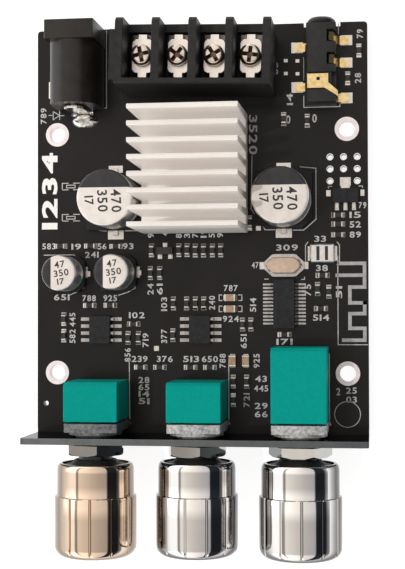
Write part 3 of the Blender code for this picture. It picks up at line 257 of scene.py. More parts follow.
def make_shades():
    shade("mask_black", (0.0075, 0.0066, 0.0066), (0.011, 0.0098, 0.0100), 0.3, specular=0.22, scale=160.0)
    shade("ink", (0.36, 0.36, 0.37), (0.52, 0.51, 0.51), 0.6, scale=2600.0)
    shade("tin_dull", (0.42, 0.41, 0.41), (0.60, 0.59, 0.58), 0.3, 1.0, 1500.0, rough_light=0.4, grain=0.15)
    shade("link_ring", (0.93, 0.91, 0.91), (0.98, 0.96, 0.96), 0.5, 0.2, 900.0)
    shade("bold_ink", (0.70, 0.69, 0.68), (0.82, 0.81, 0.80), 0.6, scale=2600.0)
    shade("tin", (0.62, 0.60, 0.57), (0.86, 0.84, 0.80), 0.22, 1.0, 1500.0, rough_light=0.38, grain=0.15)
    shade("hole_ring", (0.80, 0.72, 0.74), (0.92, 0.85, 0.87), 0.45, 0.45, 700.0, grain=0.1)
    shade("aerial_trace", (0.30, 0.30, 0.31), (0.40, 0.40, 0.41), 0.4, 0.2, 1200.0)
    shade("resistor_black", (0.010, 0.010, 0.011), (0.022, 0.021, 0.022), 0.35, scale=1800.0)
    shade("ceramic_tan", (0.27, 0.17, 0.10), (0.40, 0.27, 0.18), 0.45, scale=1500.0)
    shade_sink()
    shade("thermal", (0.66, 0.66, 0.64), (0.76, 0.76, 0.74), 0.8, scale=800.0)
    shade(
        "inlet_black", (0.010, 0.0088, 0.0078), (0.017, 0.0145, 0.0125),
        0.3, scale=700.0, specular=0.35, grain=0.05,
    )
    shade(
        "block_black", (0.018, 0.0175, 0.018), (0.026, 0.0255, 0.026),
        0.42, specular=0.15, grain=0.06,
    )
    shade(
        "socket_black", (0.014, 0.0145, 0.0155), (0.022, 0.0225, 0.024),
        0.3, specular=0.25, grain=0.05,
    )
    shade(
        "plated_steel", (0.80, 0.765, 0.72), (0.93, 0.90, 0.86),
        0.14, 1.0, rough_light=0.24, grain=0.06,
    )
    shade("clamp_steel", (0.84, 0.78, 0.73), (0.97, 0.93, 0.89), 0.2, 0.85, 900.0, rough_light=0.32, grain=0.08)
    # The terminal contacts under the clamps are coloured dark: painted shade in the cells.
    shade("contact_painted_shade", (0.10, 0.09, 0.085), (0.2, 0.18, 0.17), 0.3, 1.0, 900.0)
    shade(
        "screw_steel", (0.56, 0.47, 0.40), (0.90, 0.82, 0.74),
        0.16, 1.0, 1100.0, rough_light=0.28, grain=0.12,
    )
    # The cross recess of each screw is coloured dark: painted shade in the recess.
    shade("recess_painted_shade", (0.05, 0.035, 0.028), (0.20, 0.14, 0.11), 0.3, 0.8, 1500.0)
    shade("gold_plate", (0.70, 0.50, 0.20), (0.94, 0.76, 0.42), 0.24, 1.0, 1400.0, grain=0.08)
    for name, diameter, height, x, y, _ in CANS:
        shade_can(f"{name}_look", x * MM, y * MM, TOP + height * MM, diameter > 8)
    shade("can_print", (0.016, 0.016, 0.018), (0.028, 0.027, 0.029), 0.45, scale=1200.0)
    # The darker copy of the bracket metal is painted shade for the first pot's frame; the frames are alike.
    for name, dark, light in (
        ("bracket_metal_shaded", (0.06, 0.066, 0.07), (0.24, 0.25, 0.26)),
        ("bracket_metal", (0.22, 0.225, 0.23), (0.62, 0.625, 0.63)),
    ):
        shade(name, dark, light, 0.35, 0.45, 2100.0, rough_light=0.5, grain=0.3)
    # The nuts' facets go dark at grazing angles, a painted shade.
    shade_chrome_painted_edges("nut_metal", (0.84, 0.84, 0.81), (0.93, 0.93, 0.90), 0.3)
    shade("shaft_dark", (0.03, 0.035, 0.037), (0.07, 0.075, 0.077), 0.3, 0.9, 900.0)
    panel = shade("panel_grey", (0.16, 0.18, 0.19), (0.20, 0.22, 0.23), 0.1, 1.0, 500.0)[1]
    set_inputs(panel, {"Specular Tint": (0.3, 0.31, 0.32, 1.0)})
    # Knob 1 has its own copy of the chrome, tinted warm and with lighter edges: a painted warm reflection, the
    # knobs being alike.
    shade_chrome_painted_edges("chrome_painted_warm_reflection", (0.80, 0.63, 0.49), (0.83, 0.67, 0.53), 0.35)
    shade_chrome_painted_edges("chrome_plain", (0.83, 0.81, 0.795), (0.87, 0.85, 0.835), 0.12)
    shade("core_black", (0.012, 0.012, 0.012), (0.02, 0.02, 0.02), 0.5, scale=900.0)
    shade("solder_bright", (0.30, 0.29, 0.28), (0.92, 0.91, 0.89), 0.08, 1.0, 900.0, rough_light=0.2, grain=0.5)
    shade("solder", (0.52, 0.51, 0.50), (0.78, 0.77, 0.75), 0.2, 1.0, 1300.0, rough_light=0.36, grain=0.3)


# Shapes

def finish_mesh(name, bm, shade_name, angle=30.0, body="board"):
    bmesh.ops.recalc_face_normals(bm, faces=bm.faces)
    mesh = bpy.data.meshes.new(name)
    bm.to_mesh(mesh)
    bm.free()
    obj = bpy.data.objects.new(name, mesh)
    bpy.context.scene.collection.objects.link(obj)
    mesh.materials.append(SHADES[shade_name])
    mesh.shade_smooth()
    mesh.set_sharp_from_angle(angle=math.radians(angle))
    if body:
        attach(obj, body)
    return obj


def add_box(bm, low, high):
    low, high = Vector(low), Vector(high)
    matrix = Matrix.Translation((low + high) / 2) @ Matrix.Diagonal((*(high - low), 1.0))
    bmesh.ops.create_cube(bm, size=1.0, matrix=matrix)


def add_slab(bm, x, y, size_x, size_y, low, high):
    """A flat box from its centre and sizes."""
    add_box(bm, (x - size_x / 2, y - size_y / 2, low), (x + size_x / 2, y + size_y / 2, high))


def add_prism(bm, points, low, high):
    """A flat outline in (x, y), raised between two heights."""
    bottom = [bm.verts.new((x, y, low)) for x, y in points]
    top = [bm.verts.new((x, y, high)) for x, y in points]
    bm.faces.new(top)
    bm.faces.new(bottom[::-1])
    count = len(points)
    for i in range(count):
        j = (i + 1) % count
        bm.faces.new((bottom[i], bottom[j], top[j], top[i]))


def add_bar(bm, start, end, width, low=TOP, high=TOP + INK):
    """A printed line between two points."""
    start = Vector(start)
    end = Vector(end)
    along = (end - start).normalized() * width / 2
    side = Vector((-along.y, along.x))
    corners = (start - along + side, start - along - side, end + along - side, end + along + side)
    add_prism(bm, [tuple(corner) for corner in corners], low, high)


def add_path(bm, points, width, low=TOP, high=TOP + INK):
    for i, (start, end) in enumerate(zip(points, points[1:])):
        add_bar(bm, start, end, width, low, high + (i % 2) * 0.002 * MM)


def circle(x, y, radius_x, radius_y, count):
    """Points of a circle or an ellipse in (x, y)."""
    angles = [math.tau * i / count for i in range(count)]
    return [(x + radius_x * math.cos(angle), y + radius_y * math.sin(angle)) for angle in angles]


def add_ring(bm, x, y, inner, outer, low, high, segments=48):
    """A flat ring between two radii."""
    loops = [
        [bm.verts.new((*place, height)) for place in circle(x, y, radius, radius, segments)]
        for radius, height in ((inner, low), (outer, low), (outer, high), (inner, high))
    ]
    for a, b in ((0, 1), (1, 2), (2, 3), (3, 0)):
        for i in range(segments):
            j = (i + 1) % segments
            bm.faces.new((loops[a][i], loops[a][j], loops[b][j], loops[b][i]))


def stitch(bm, rings):
    """Faces between rings that follow one another; a ring of one vertex is a pole."""
    for first, second in zip(rings, rings[1:]):
        count = max(len(first), len(second))
        for i in range(count):
            j = (i + 1) % count
            if len(first) == 1:
                bm.faces.new((first[0], second[i], second[j]))
            elif len(second) == 1:
                bm.faces.new((first[i], second[0], first[j]))
            else:
                bm.faces.new((first[i], second[i], second[j], first[j]))


def add_turned(bm, profile, segments, matrix=None):
    """A body of revolution about Z. Profile points are (radius, height), from the axis round to the axis."""
    rings = []
    for radius, height in profile:
        places = circle(0.0, 0.0, radius, radius, segments) if radius else [(0.0, 0.0)]
        rings.append([bm.verts.new((*place, height)) for place in places])
    stitch(bm, rings)
    if matrix is not None:
        made = [vert for ring in rings for vert in ring]
        bmesh.ops.transform(bm, matrix=matrix, verts=made)


def shoulder(radius, height, across, down, steps):
    """Profile points of a rounded shoulder, from its inner end out to the full radius."""
    angles = [math.radians(90 - 90 * i / steps) for i in range(steps + 1)]
    return [(radius - across * (1 - math.cos(angle)), height - down * (1 - math.sin(angle))) for angle in angles]


def round_edges(obj, width, segments=2, angle=40.0):
    step = obj.modifiers.new("rounded edges", "BEVEL")
    step.width = width
    step.segments = segments
    step.limit_method = "ANGLE"
    step.angle_limit = math.radians(angle)
    step.use_clamp_overlap = True
    step.harden_normals = True


DIGITS = {}


def digit_shape(digit, weight=0.0):
    """The built-in font's figure as points and faces, one unit high, with its strokes made heavier."""
    key = (digit, weight)
    if key not in DIGITS:
        curve = bpy.data.curves.new("figure", "FONT")
        curve.body = digit
        curve.offset = weight
        curve.resolution_u = 3
        curve.extrude = 0.5
        drawn = bpy.data.objects.new("figure", curve)
        bpy.context.scene.collection.objects.link(drawn)
        bpy.context.view_layer.update()
        graph = bpy.context.evaluated_depsgraph_get()
        mesh = bpy.data.meshes.new_from_object(drawn.evaluated_get(graph))
        low = [min(vert.co[k] for vert in mesh.vertices) for k in range(2)]
        high = [max(vert.co[k] for vert in mesh.vertices) for k in range(2)]
        tall = high[1] - low[1]
        places = [vert.co for vert in mesh.vertices]
        points = [((at.x - low[0]) / tall, (at.y - low[1]) / tall, at.z + 0.5) for at in places]
        faces = [tuple(face.vertices) for face in mesh.polygons]
        DIGITS[key] = (points, faces, (high[0] - low[0]) / tall)
        bpy.data.objects.remove(drawn, do_unlink=True)
        bpy.data.curves.remove(curve)
        bpy.data.meshes.remove(mesh)
    return DIGITS[key]


def add_number(bm, text, x, y, length, height, angle=0.0, low=TOP, thick=INK, weight=0.02):
    """A plain number, centred on a place, as long and as high as given, turned by an angle in degrees."""
    gap = 0.16
    wide = sum(digit_shape(digit, weight)[2] for digit in text) + gap * (len(text) - 1)
    turn = Matrix.Translation((x, y, low)) @ Matrix.Rotation(math.radians(angle), 4, "Z")
    at = 0.0
    for digit in text:
        points, faces, width = digit_shape(digit, weight)
        verts = []
        for px, py, pz in points:
            local = Vector(((at + px) / wide * length - length / 2, (py - 0.5) * height, pz * thick))
            verts.append(bm.verts.new(turn @ local))
        for face in faces:
            if len(set(face)) > 2:
                try:
                    bm.faces.new([verts[i] for i in face])
                except ValueError:
                    pass
        at += width + gap


def smooth_group(angle):
    """Geometry nodes that weld a CAD mesh and shade it smooth, with edges sharp above an angle in degrees."""
    group = bpy.data.node_groups.new("smooth faces", "GeometryNodeTree")
    for way in ("INPUT", "OUTPUT"):
        group.interface.new_socket("Geometry", in_out=way, socket_type="NodeSocketGeometry")
    start = group.nodes.new("NodeGroupInput").outputs["Geometry"]
    weld = add_node(group, "GeometryNodeMergeByDistance", {"Geometry": start, "Distance": 0.001 * MM})
    edge_angle = group.nodes.new("GeometryNodeInputMeshEdgeAngle").outputs["Unsigned Angle"]
    compare = group.nodes.new("FunctionNodeCompare")
    compare.data_type = "FLOAT"
    compare.operation = "LESS_THAN"
    set_inputs(compare, {"A": edge_angle, "B": math.radians(angle)})
    edges = group.nodes.new("GeometryNodeSetShadeSmooth")
    edges.domain = "EDGE"
    set_inputs(edges, {"Geometry": weld["Geometry"], "Shade Smooth": compare.outputs["Result"]})
    faces = group.nodes.new("GeometryNodeSetShadeSmooth")
    faces.domain = "FACE"
    set_inputs(faces, {"Geometry": edges.outputs["Geometry"]})
    set_inputs(group.nodes.new("NodeGroupOutput"), {"Geometry": faces.outputs["Geometry"]})
    return group


SMOOTH = smooth_group(32.0)


def dress(name, shade_name, rounding=0.0, segments=2):
    """Gives a CAD node its finish, smooth curved faces and, where asked, rounded edges."""
    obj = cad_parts[name]
    obj.data.materials.clear()
    obj.data.materials.append(SHADES[shade_name])
    obj.modifiers.new("smooth faces", "NODES").node_group = SMOOTH
    if rounding:
        round_edges(obj, rounding, segments)


# Circuit board

FIX_HOLES = ((-26.3, 17.4), (26.3, 17.4), (-26.3, -26.0), (26.3, -26.0))
LINK_AT = (25.7, 10.3)
LINK_PITCH = (2.4, 2.15)

# Places of chip resistors, in millimetres: long axis along Y, then along X.
RESISTORS_Y = (
    (-8.9, -3.9), (-3.9, -3.9), (-2.4, -3.9), (-0.9, -4.0), (0.6, -4.0), (2.2, -4.0), (3.7, -4.0),
    (-9.1, -8.0), (-7.4, -8.0), (-25.1, -16.3), (-25.1, -19.3), (-13.2, -19.7), (-11.3, -19.7),
    (-4.9, -13.5), (-2.5, -13.5), (-0.9, -13.5), (0.6, -13.5), (-5.0, -19.2), (7.6, -17.3), (9.1, -17.3),
    (5.9, -27.5), (8.3, -27.5), (5.9, -30.8), (21.0, -11.0), (23.0, -11.5), (15.1, 19.4), (19.3, 19.0),
    (28.5, 31.3), (26.5, 26.4), (8.9, 1.0),
)
RESISTORS_X = (
    (-25.7, -3.0), (-20.1, -3.0), (-15.4, -3.1), (-20.3, -13.8), (-16.5, -13.8), (-12.2, -17.2),
    (-10.9, -25.0), (-7.4, -25.0), (-1.8, -25.0), (1.7, -25.0), (24.7, 2.1), (24.7, 0.5), (24.7, -1.4),
    (21.9, -8.6), (21.6, -14.5), (15.1, -19.1),
)
CERAMICS_Y = ((5.8, -23.8), (8.2, -23.8))
CERAMICS_X = ((5.4, -12.5), (5.4, -14.5))
LINKS_OPEN = ((15.5, 28.7), (17.6, 28.6))

# Printed numbers: (x, y, length), along X and then along Y.
MARKS_X = (
    (-11.6, -15.6, 2.9), (-11.1, -23.5, 2.9), (-6.5, -23.5, 2.9), (-1.7, -23.5, 2.9), (1.7, -23.5, 2.9),
    (5.5, -10.8, 2.5), (5.5, -16.3, 2.9), (15.1, -20.4, 2.9), (10.9, -27.0, 2.1), (10.9, -28.7, 2.5),
    (10.9, -31.8, 2.3), (10.9, -33.3, 2.3), (27.7, 2.1, 2.0), (27.7, 0.4, 2.0), (27.7, -1.4, 2.0),
    (21.8, -7.3, 2.1), (21.6, -16.1, 2.9), (-25.5, -12.3, 2.9), (-20.4, -12.5, 2.5), (-16.5, -12.5, 2.5),
    (9.9, -6.7, 1.2), (15.6, -3.6, 3.9), (21.5, -2.1, 2.1), (-27.9, -3.0, 2.5), (-22.8, -3.1, 1.8),
    (-18.0, -3.1, 1.6), (-13.2, -3.1, 2.0), (-19.9, -4.6, 2.5), (29.0, 3.8, 1.4),
    (-10.3, -27.3, 2.0), (-10.3, -28.6, 2.0), (-10.3, -29.8, 2.0), (-10.3, -31.1, 2.0),
)
MARKS_Y = (
    (-23.5, -16.4, 2.5), (-23.5, -19.4, 2.5), (-10.0, -20.1, 2.5), (-13.3, -22.8, 2.5), (-6.6, -13.6, 2.5),
    (2.1, -13.4, 2.5), (-6.6, -19.4, 2.5), (9.5, -13.8, 2.5), (7.8, -20.3, 2.5), (4.0, -23.8, 2.5),
    (10.1, -23.8, 2.5), (19.3, -11.2, 2.1), (-9.1, -10.9, 2.0), (-7.4, -10.9, 2.0), (-9.0, -0.6, 2.1),
    (-6.4, -0.6, 1.4), (-3.9, -0.8, 1.8), (-2.4, -0.8, 1.8), (-0.9, -0.8, 1.8), (0.6, -0.8, 1.8),
    (2.1, -0.8, 1.8), (3.6, -0.8, 1.8), (-28.9, 20.9, 2.9), (28.7, 34.3, 1.6), (28.3, 26.4, 1.8),
    (13.6, 28.5, 2.1), (16.2, 22.9, 2.1), (24.8, -11.6, 2.1), (8.3, -30.8, 2.5),
)


def two_digits(index):
    return str(11 + (index * 37) % 88)


def three_digits(index):
    return str(102 + (index * 137) % 890)


def build_pads():
    """Tinned pads, solder fillets, and the rings round the holes."""
    pads = bmesh.new()
    fine = bmesh.new()
    solder = bmesh.new()
    for places, turned in ((RESISTORS_Y + CERAMICS_Y, True), (RESISTORS_X + CERAMICS_X, False)):
        for x, y in places:
            for side in (-1, 1):
                off = side * 0.85 * MM
                cx, cy = (x * MM, y * MM + off) if turned else (x * MM + off, y * MM)
                size = (0.9 * MM, 0.75 * MM) if turned else (0.75 * MM, 0.9 * MM)
                add_slab(pads, cx, cy, *size, TOP, TOP + TIN)
                add_fillet(solder, x * MM, y * MM, turned, side)
    for x, y in LINKS_OPEN:
        for side in (-1, 1):
            add_slab(pads, x * MM, (y + side * 1.15) * MM, 0.7 * MM, 0.6 * MM, TOP, TOP + TIN)
    chip_pads(fine, 15.1, -13.65, 12, 0.635, 0.34, (11.3, 13.2), (17.0, 18.9))
    chip_pads(fine, -18.2, -18.2, 4, 1.27, 0.6, (-21.9, -20.2), (-16.2, -14.4))
    chip_pads(fine, 0.0, -18.2, 4, 1.27, 0.6, (-3.7, -2.0), (2.0, 3.8))
    for x, y, wide, deep in (
        (17.55, 32.1, 2.1, 1.9), (17.55, 25.0, 2.1, 1.9), (26.3, 33.2, 2.1, 1.8), (26.3, 29.2, 2.1, 1.8),
        (26.3, 22.9, 2.1, 1.9),
        (15.05, 10.9, 2.6, 1.3), (15.05, -0.9, 2.9, 1.9), (-15.45, 10.9, 2.6, 1.3), (-15.45, -0.9, 2.9, 1.9),
        (-21.1, -7.8, 0.9, 2.0), (-11.6, -7.8, 1.1, 2.0), (-28.2, -8.1, 1.0, 1.8),
        (11.2, -6.8, 1.0, 1.3), (18.9, -6.8, 1.0, 1.3),
        (26.0, 8.0, 1.9, 1.6), (24.5, 3.6, 0.7, 1.3), (26.0, 3.6, 0.7, 1.3), (27.5, 3.6, 0.7, 1.3),
        (23.0, 6.0, 0.8, 1.1), (29.0, 6.0, 0.7, 1.1),
        (-6.4, -2.95, 0.8, 0.8), (-7.35, -5.05, 0.8, 0.8), (-5.45, -5.05, 0.8, 0.8),
        (-8.0, -21.6, 0.9, 0.9), (8.9, -0.1, 0.9, 0.8), (10.5, -0.1, 0.9, 0.8),
        (19.65, -4.7, 0.7, 2.6), (24.15, -4.7, 0.7, 2.6),
    ):
        add_slab(pads, x * MM, y * MM, wide * MM, deep * MM, TOP, TOP + TIN)
    obj = finish_mesh("board_pads", pads, "tin")
    round_edges(obj, 0.02 * MM, 1)

    rings = bmesh.new()
    for x, y in FIX_HOLES:
        for low, high in ((TOP, TOP + TIN), (-TIN, 0.0)):
            add_ring(rings, x * MM, y * MM, 1.45 * MM, 2.15 * MM, low, high)
        add_ring(rings, x * MM, y * MM, 1.4 * MM, 1.46 * MM, 0.0, TOP + 0.5 * TIN, 48)
    links = bmesh.new()
    for row in (-1, 0, 1):
        for column in (-1, 0, 1):
            if (row, column) == (-1, 0):
                continue
            x = (LINK_AT[0] + column * LINK_PITCH[0]) * MM
            y = (LINK_AT[1] + row * LINK_PITCH[1]) * MM
            for low, high in ((TOP, TOP + TIN), (-TIN, 0.0)):
                add_ring(links, x, y, 0.5 * MM, 0.61 * MM, low, high, 28)
    for name, bm, finish in (
        ("board_lead_pads", fine, "tin_dull"), ("board_solder_fillets", solder, "solder"),
        ("board_hole_rings", rings, "hole_ring"), ("board_link_rings", links, "link_ring"),
    ):
        obj = finish_mesh(name, bm, finish)


def add_fillet(bm, x, y, along_y, side):
    """A wedge of solder from a chip part's end down to its pad."""
    half = 0.4 * MM
    near = side * 0.8 * MM
    far = side * 1.18 * MM
    low = TOP + TIN
    points = []
    for offset, height in ((near, 0.36 * MM), ((near + far) / 2, 0.12 * MM), (far, 0.01 * MM)):
        for across in (-half, half):
            place = (x + across, y + offset) if along_y else (x + offset, y + across)
            points.append(((*place, low), (*place, low + height)))
    verts = [(bm.verts.new(a), bm.verts.new(b)) for a, b in points]
    (a0, b0), (a1, b1), (a2, b2), (a3, b3), (a4, b4), (a5, b5) = verts
    for face in (
        (b0, b1, b3, b2), (b2, b3, b5, b4), (a0, a1, b1, b0), (a4, b4, b5, a5),
        (a0, b0, b2, a2), (a2, b2, b4, a4), (a1, a3, b3, b1), (a3, a5, b5, b3),
        (a0, a2, a3, a1), (a2, a4, a5, a3),
    ):
        bm.faces.new(face)


def chip_pads(bm, x, y, leads, pitch, width, left, right):
    for lead in range(leads):
        at = (y + (lead - (leads - 1) / 2) * pitch) * MM
        for low, high in (left, right):
            centre = (low + high) / 2 * MM
            add_slab(bm, centre, at, (high - low) * MM, width * MM, TOP, TOP + TIN)


def build_chip_parts():
    """Resistors, ceramic capacitors and the three-lead transistor."""
    bodies = bmesh.new()
    ceramics = bmesh.new()
    ends = bmesh.new()
    low = TOP + TIN
    # Height, width and length of the body, then the place and the length of its ends, in millimetres
    small = (0.45, 0.8, 1.05, 0.66, 0.28)
    large = (0.9, 1.25, 1.35, 0.83, 0.34)
    for places, turned, bm, sizes in (
        (RESISTORS_Y, True, bodies, small), (RESISTORS_X, False, bodies, small),
        (CERAMICS_Y, True, ceramics, large), (CERAMICS_X, False, ceramics, large),
    ):
        tall, wide, middle, end_off, end_long = (value * MM for value in sizes)
        for x, y in places:
            x *= MM
            y *= MM
            size = (wide, middle) if turned else (middle, wide)
            add_slab(bm, x, y, *size, low + 0.02 * MM, low + tall)
            for side in (-1, 1):
                off = side * end_off
                cx, cy = (x, y + off) if turned else (x + off, y)
                size = (wide + 0.02 * MM, end_long) if turned else (end_long, wide + 0.02 * MM)
                add_slab(ends, cx, cy, *size, low, low + tall + 0.01 * MM)
    add_slab(bodies, -6.4 * MM, -4.0 * MM, 2.9 * MM, 1.3 * MM, low + 0.05 * MM, low + 1.0 * MM)
    for x, y in ((-6.4, -3.0), (-7.35, -5.0), (-5.45, -5.0)):
        add_slab(ends, x * MM, y * MM, 0.4 * MM, 0.9 * MM, low, low + 0.15 * MM)
    obj = finish_mesh("chip_resistors", bodies, "resistor_black")
    round_edges(obj, 0.05 * MM, 1)
    obj = finish_mesh("ceramic_capacitors", ceramics, "ceramic_tan")
    round_edges(obj, 0.08 * MM, 2)
    obj = finish_mesh("chip_part_ends", ends, "tin")
    round_edges(obj, 0.05 * MM, 1)


def build_printing():
    """Printed lines and plain numbers on the component side."""
    ink = bmesh.new()
    line = 0.15 * MM
    wide = 0.62 * MM

    def path(*points, bm=ink, width=line):
        add_path(bm, [(x * MM, y * MM) for x, y in points], width)

    for i, (x, y, length) in enumerate(MARKS_X):
        text = two_digits(i) if length < 2.4 else three_digits(i)
        add_number(ink, text, x * MM, y * MM, length * MM, 1.1 * MM)
    for i, (x, y, length) in enumerate(MARKS_Y):
        text = two_digits(i + 5) if length < 2.4 else three_digits(i + 9)
        add_number(ink, text, x * MM, y * MM, length * MM, 1.1 * MM, 90.0)
    for text, x, y, length, height, angle in (
        ("3520", 9.6, 16.7, 7.1, 1.5, -90.0), ("0", 15.9, 19.3, 0.8, 1.5, 0.0),
        ("0", 20.6, 19.4, 0.8, 1.5, 0.0), ("25", 26.9, -29.0, 1.9, 1.1, 0.0),
        ("03", 26.9, -30.6, 1.9, 1.1, 0.0), ("2", 24.6, -29.2, 0.7, 1.3, 0.0),
    ):
        add_number(ink, text, x * MM, y * MM, length * MM, height * MM, angle)
    bold = bmesh.new()
    add_number(bold, "1234", -27.75 * MM, 7.1 * MM, 14.0 * MM, 2.9 * MM, 90.0, weight=0.035)
    finish_mesh("board_large_number", bold, "bold_ink", 20.0)
    add_ring(ink, 26.2 * MM, -33.2 * MM, 2.2 * MM, 2.34 * MM, TOP, TOP + INK, 64)

    # Round the large capacitors
    path((9.4, 12.9), (9.2, 3.4), (11.7, -0.4), (13.4, -0.4))
    path((16.7, -0.5), (18.6, -0.5), (20.8, 1.4), (20.8, 10.5), (18.0, 10.8))
    path((-20.9, 3.0), (-18.5, -0.2), (-17.2, -0.3))
    path((-13.7, -0.3), (-11.6, -0.3), (-10.2, 1.2))
    # Round the small capacitors
    path((-28.8, -4.6), (-23.2, -4.6), (-21.7, -6.1), (-21.6, -6.6))
    path((-21.5, -9.0), (-21.4, -10.6), (-22.3, -11.2), (-24.0, -11.9))
    path((-13.8, -4.7), (-12.1, -6.0), (-12.0, -6.6))
    path((-11.95, -9.0), (-11.9, -10.7), (-13.2, -11.4), (-15.0, -12.0))
    # Open outlines left of the large capacitor
    for y in (7.9, 2.2):
        path((-25.4, y - 0.6), (-25.4, y + 0.6), (-24.3, y + 0.6))
        path((-25.4, y - 0.6), (-24.3, y - 0.6))
        path((-22.2, y + 0.6), (-23.3, y + 0.6))
        path((-22.2, y - 0.6), (-23.3, y - 0.6))
        path((-24.6, y - 0.25), (-23.0, y - 0.25), (-23.0, y + 0.25), (-24.6, y + 0.25), (-24.6, y - 0.25))
    # Diode sign
    path((-27.9, 21.0), (-27.1, 21.0))
    path((-25.1, 20.9), (-25.9, 20.9))
    path((-27.1, 21.7), (-27.1, 20.2), (-25.9, 20.95), (-27.1, 21.7))
    path((-25.9, 21.7), (-25.9, 20.2))
    # Inlet and socket
    path((-17.16, 36.2), (-17.16, 22.1), (-18.6, 22.1))
    path((18.7, 30.3), (18.7, 26.3))
    path((18.7, 23.4), (18.7, 21.4), (25.1, 21.4), (25.1, 22.0))
    path((24.9, 36.2), (24.9, 34.4))
    # Controls
    path((-13.0, -23.6), (-12.9, -34.2))
    path((5.1, -23.6), (5.1, -34.2))
    path((23.05, -22.5), (23.05, -34.2))
    # Regulator and filter
    path((23.6, 7.2), (23.0, 7.2), (23.0, 6.9))
    path((28.4, 7.2), (29.0, 7.2), (29.0, 6.9))
    path((19.3, -2.7), (18.9, -3.2), (18.9, -6.2), (19.3, -6.7))
    path((24.5, -2.7), (24.9, -3.2), (24.9, -6.2), (24.5, -6.7))
    # Brackets of the ceramic capacitors
    for y in (-12.5, -14.5):
        path((6.9, y - 0.5), (7.5, y - 0.5), (7.5, y + 0.5), (6.9, y + 0.5))
        path((3.9, y - 0.5), (3.4, y - 0.5), (3.4, y + 0.5), (3.9, y + 0.5))
    # Crystal corner and aerial box
    path((18.7, -8.9), (18.7, -9.3), (18.2, -9.3))
    path((12.2, -9.2), (11.6, -9.2))
    path((24.6, -5.2), (24.6, -20.9), (29.8, -20.9))
    obj = finish_mesh("board_printing", ink, "ink")
    obj.data.set_sharp_from_angle(angle=math.radians(20))

    trace = bmesh.new()
    for points in (
        ((24.9, -6.5), (29.3, -6.5), (29.3, -10.7), (26.7, -10.7), (26.7, -13.5), (29.3, -13.5)),
        (
            (29.3, -13.5), (29.3, -15.4), (26.7, -15.4), (26.7, -18.0), (29.3, -18.0), (29.3, -20.1),
            (25.6, -20.1),
        ),
        ((24.5, -8.6), (29.3, -8.6)),
    ):
        path(*points, bm=trace, width=wide)
    finish_mesh("printed_aerial", trace, "aerial_trace")


def build_inlet_solder():
    """The bright, ridged solder joint behind the inlet, round its rear blade."""
    bm = bmesh.new()
    centre_x, centre_y = -21.1 * MM, 19.75 * MM
    half_x, half_y = 2.5 * MM, 1.3 * MM
    around = 40
    rings = []
    for share, height in ((1.0, 0.0), (0.97, 0.12), (0.85, 0.42), (0.66, 0.68), (0.42, 0.82), (0.2, 0.88)):
        ring = []
        for i in range(around):
            angle = math.tau * i / around
            ripple = 1.0 + 0.22 * math.sin(5 * angle + 4.0 * share) * (share < 0.9) * share
            x = centre_x + half_x * share * math.cos(angle)
            y = centre_y + half_y * share * math.sin(angle)
            ring.append(bm.verts.new((x, y, TOP + height * MM * ripple)))
        rings.append(ring)
    for first, second in zip(rings, rings[1:]):
        for i in range(around):
            j = (i + 1) % around
            bm.faces.new((first[i], first[j], second[j], second[i]))
    bm.faces.new(rings[-1])
    bm.faces.new(rings[0][::-1])
    obj = finish_mesh("inlet_solder", bm, "solder_bright", 60.0)


def build_underside():
    """Solder round each pin that comes through the board."""
    bm = bmesh.new()
    places = []
    front, lug_y, lug_off = -34.05, -35.15, 4.15
    for pot_x, rows in zip(POT_X, (2, 2, 3)):
        for row in range(rows):
            for column in (-1, 0, 1):
                places.append((pot_x / MM + column * 2.5, front + 2.5 * (0.7 + 1.5 * row), 0.95))
        for side in (-1, 1):
            places.append((pot_x / MM + side * lug_off, lug_y, 1.2))
    turn = Matrix.Rotation(math.radians(TERM_SKEW), 2)
    for pole in range(4):
        at = turn @ Vector(((pole - 1.5) * TERM_PITCH, -3.7 * MM)) + Vector(TERM_AT)
        places.append((at.x / MM, at.y / MM, 1.35))
    for x, y, radius in places:
        profile = [
            (0.0, 0.0), (radius * MM, 0.0), (radius * 0.72 * MM, -0.3 * MM), (radius * 0.5 * MM, -0.95 * MM),
            (0.0, -1.1 * MM),
        ]
        add_turned(bm, profile, 24, Matrix.Translation((x * MM, y * MM, 0.0)))
    for x, y, wide, deep in ((-21.7, 21.2, 2.6, 1.1), (-21.7, 27.3, 2.6, 1.1), (-26.4, 24.7, 1.1, 3.2)):
        add_prism(bm, circle(x * MM, y * MM, wide * 0.62 * MM, deep * 0.75 * MM, 28), -0.8 * MM, 0.0)
    obj = finish_mesh("underside_solder", bm, "solder", 50.0)


# Parts with their own shapes

def knob_matrix(index):
    lay = Matrix.Rotation(math.radians(90), 4, "X")
    turn = Matrix.Rotation(math.radians(KNOB_TURNS[index]), 4, "Y")
    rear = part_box(f"knob_{index + 1}")[1][1]
    return Matrix.Translation((POT_X[index], rear, AXIS_Z)) @ turn @ lay


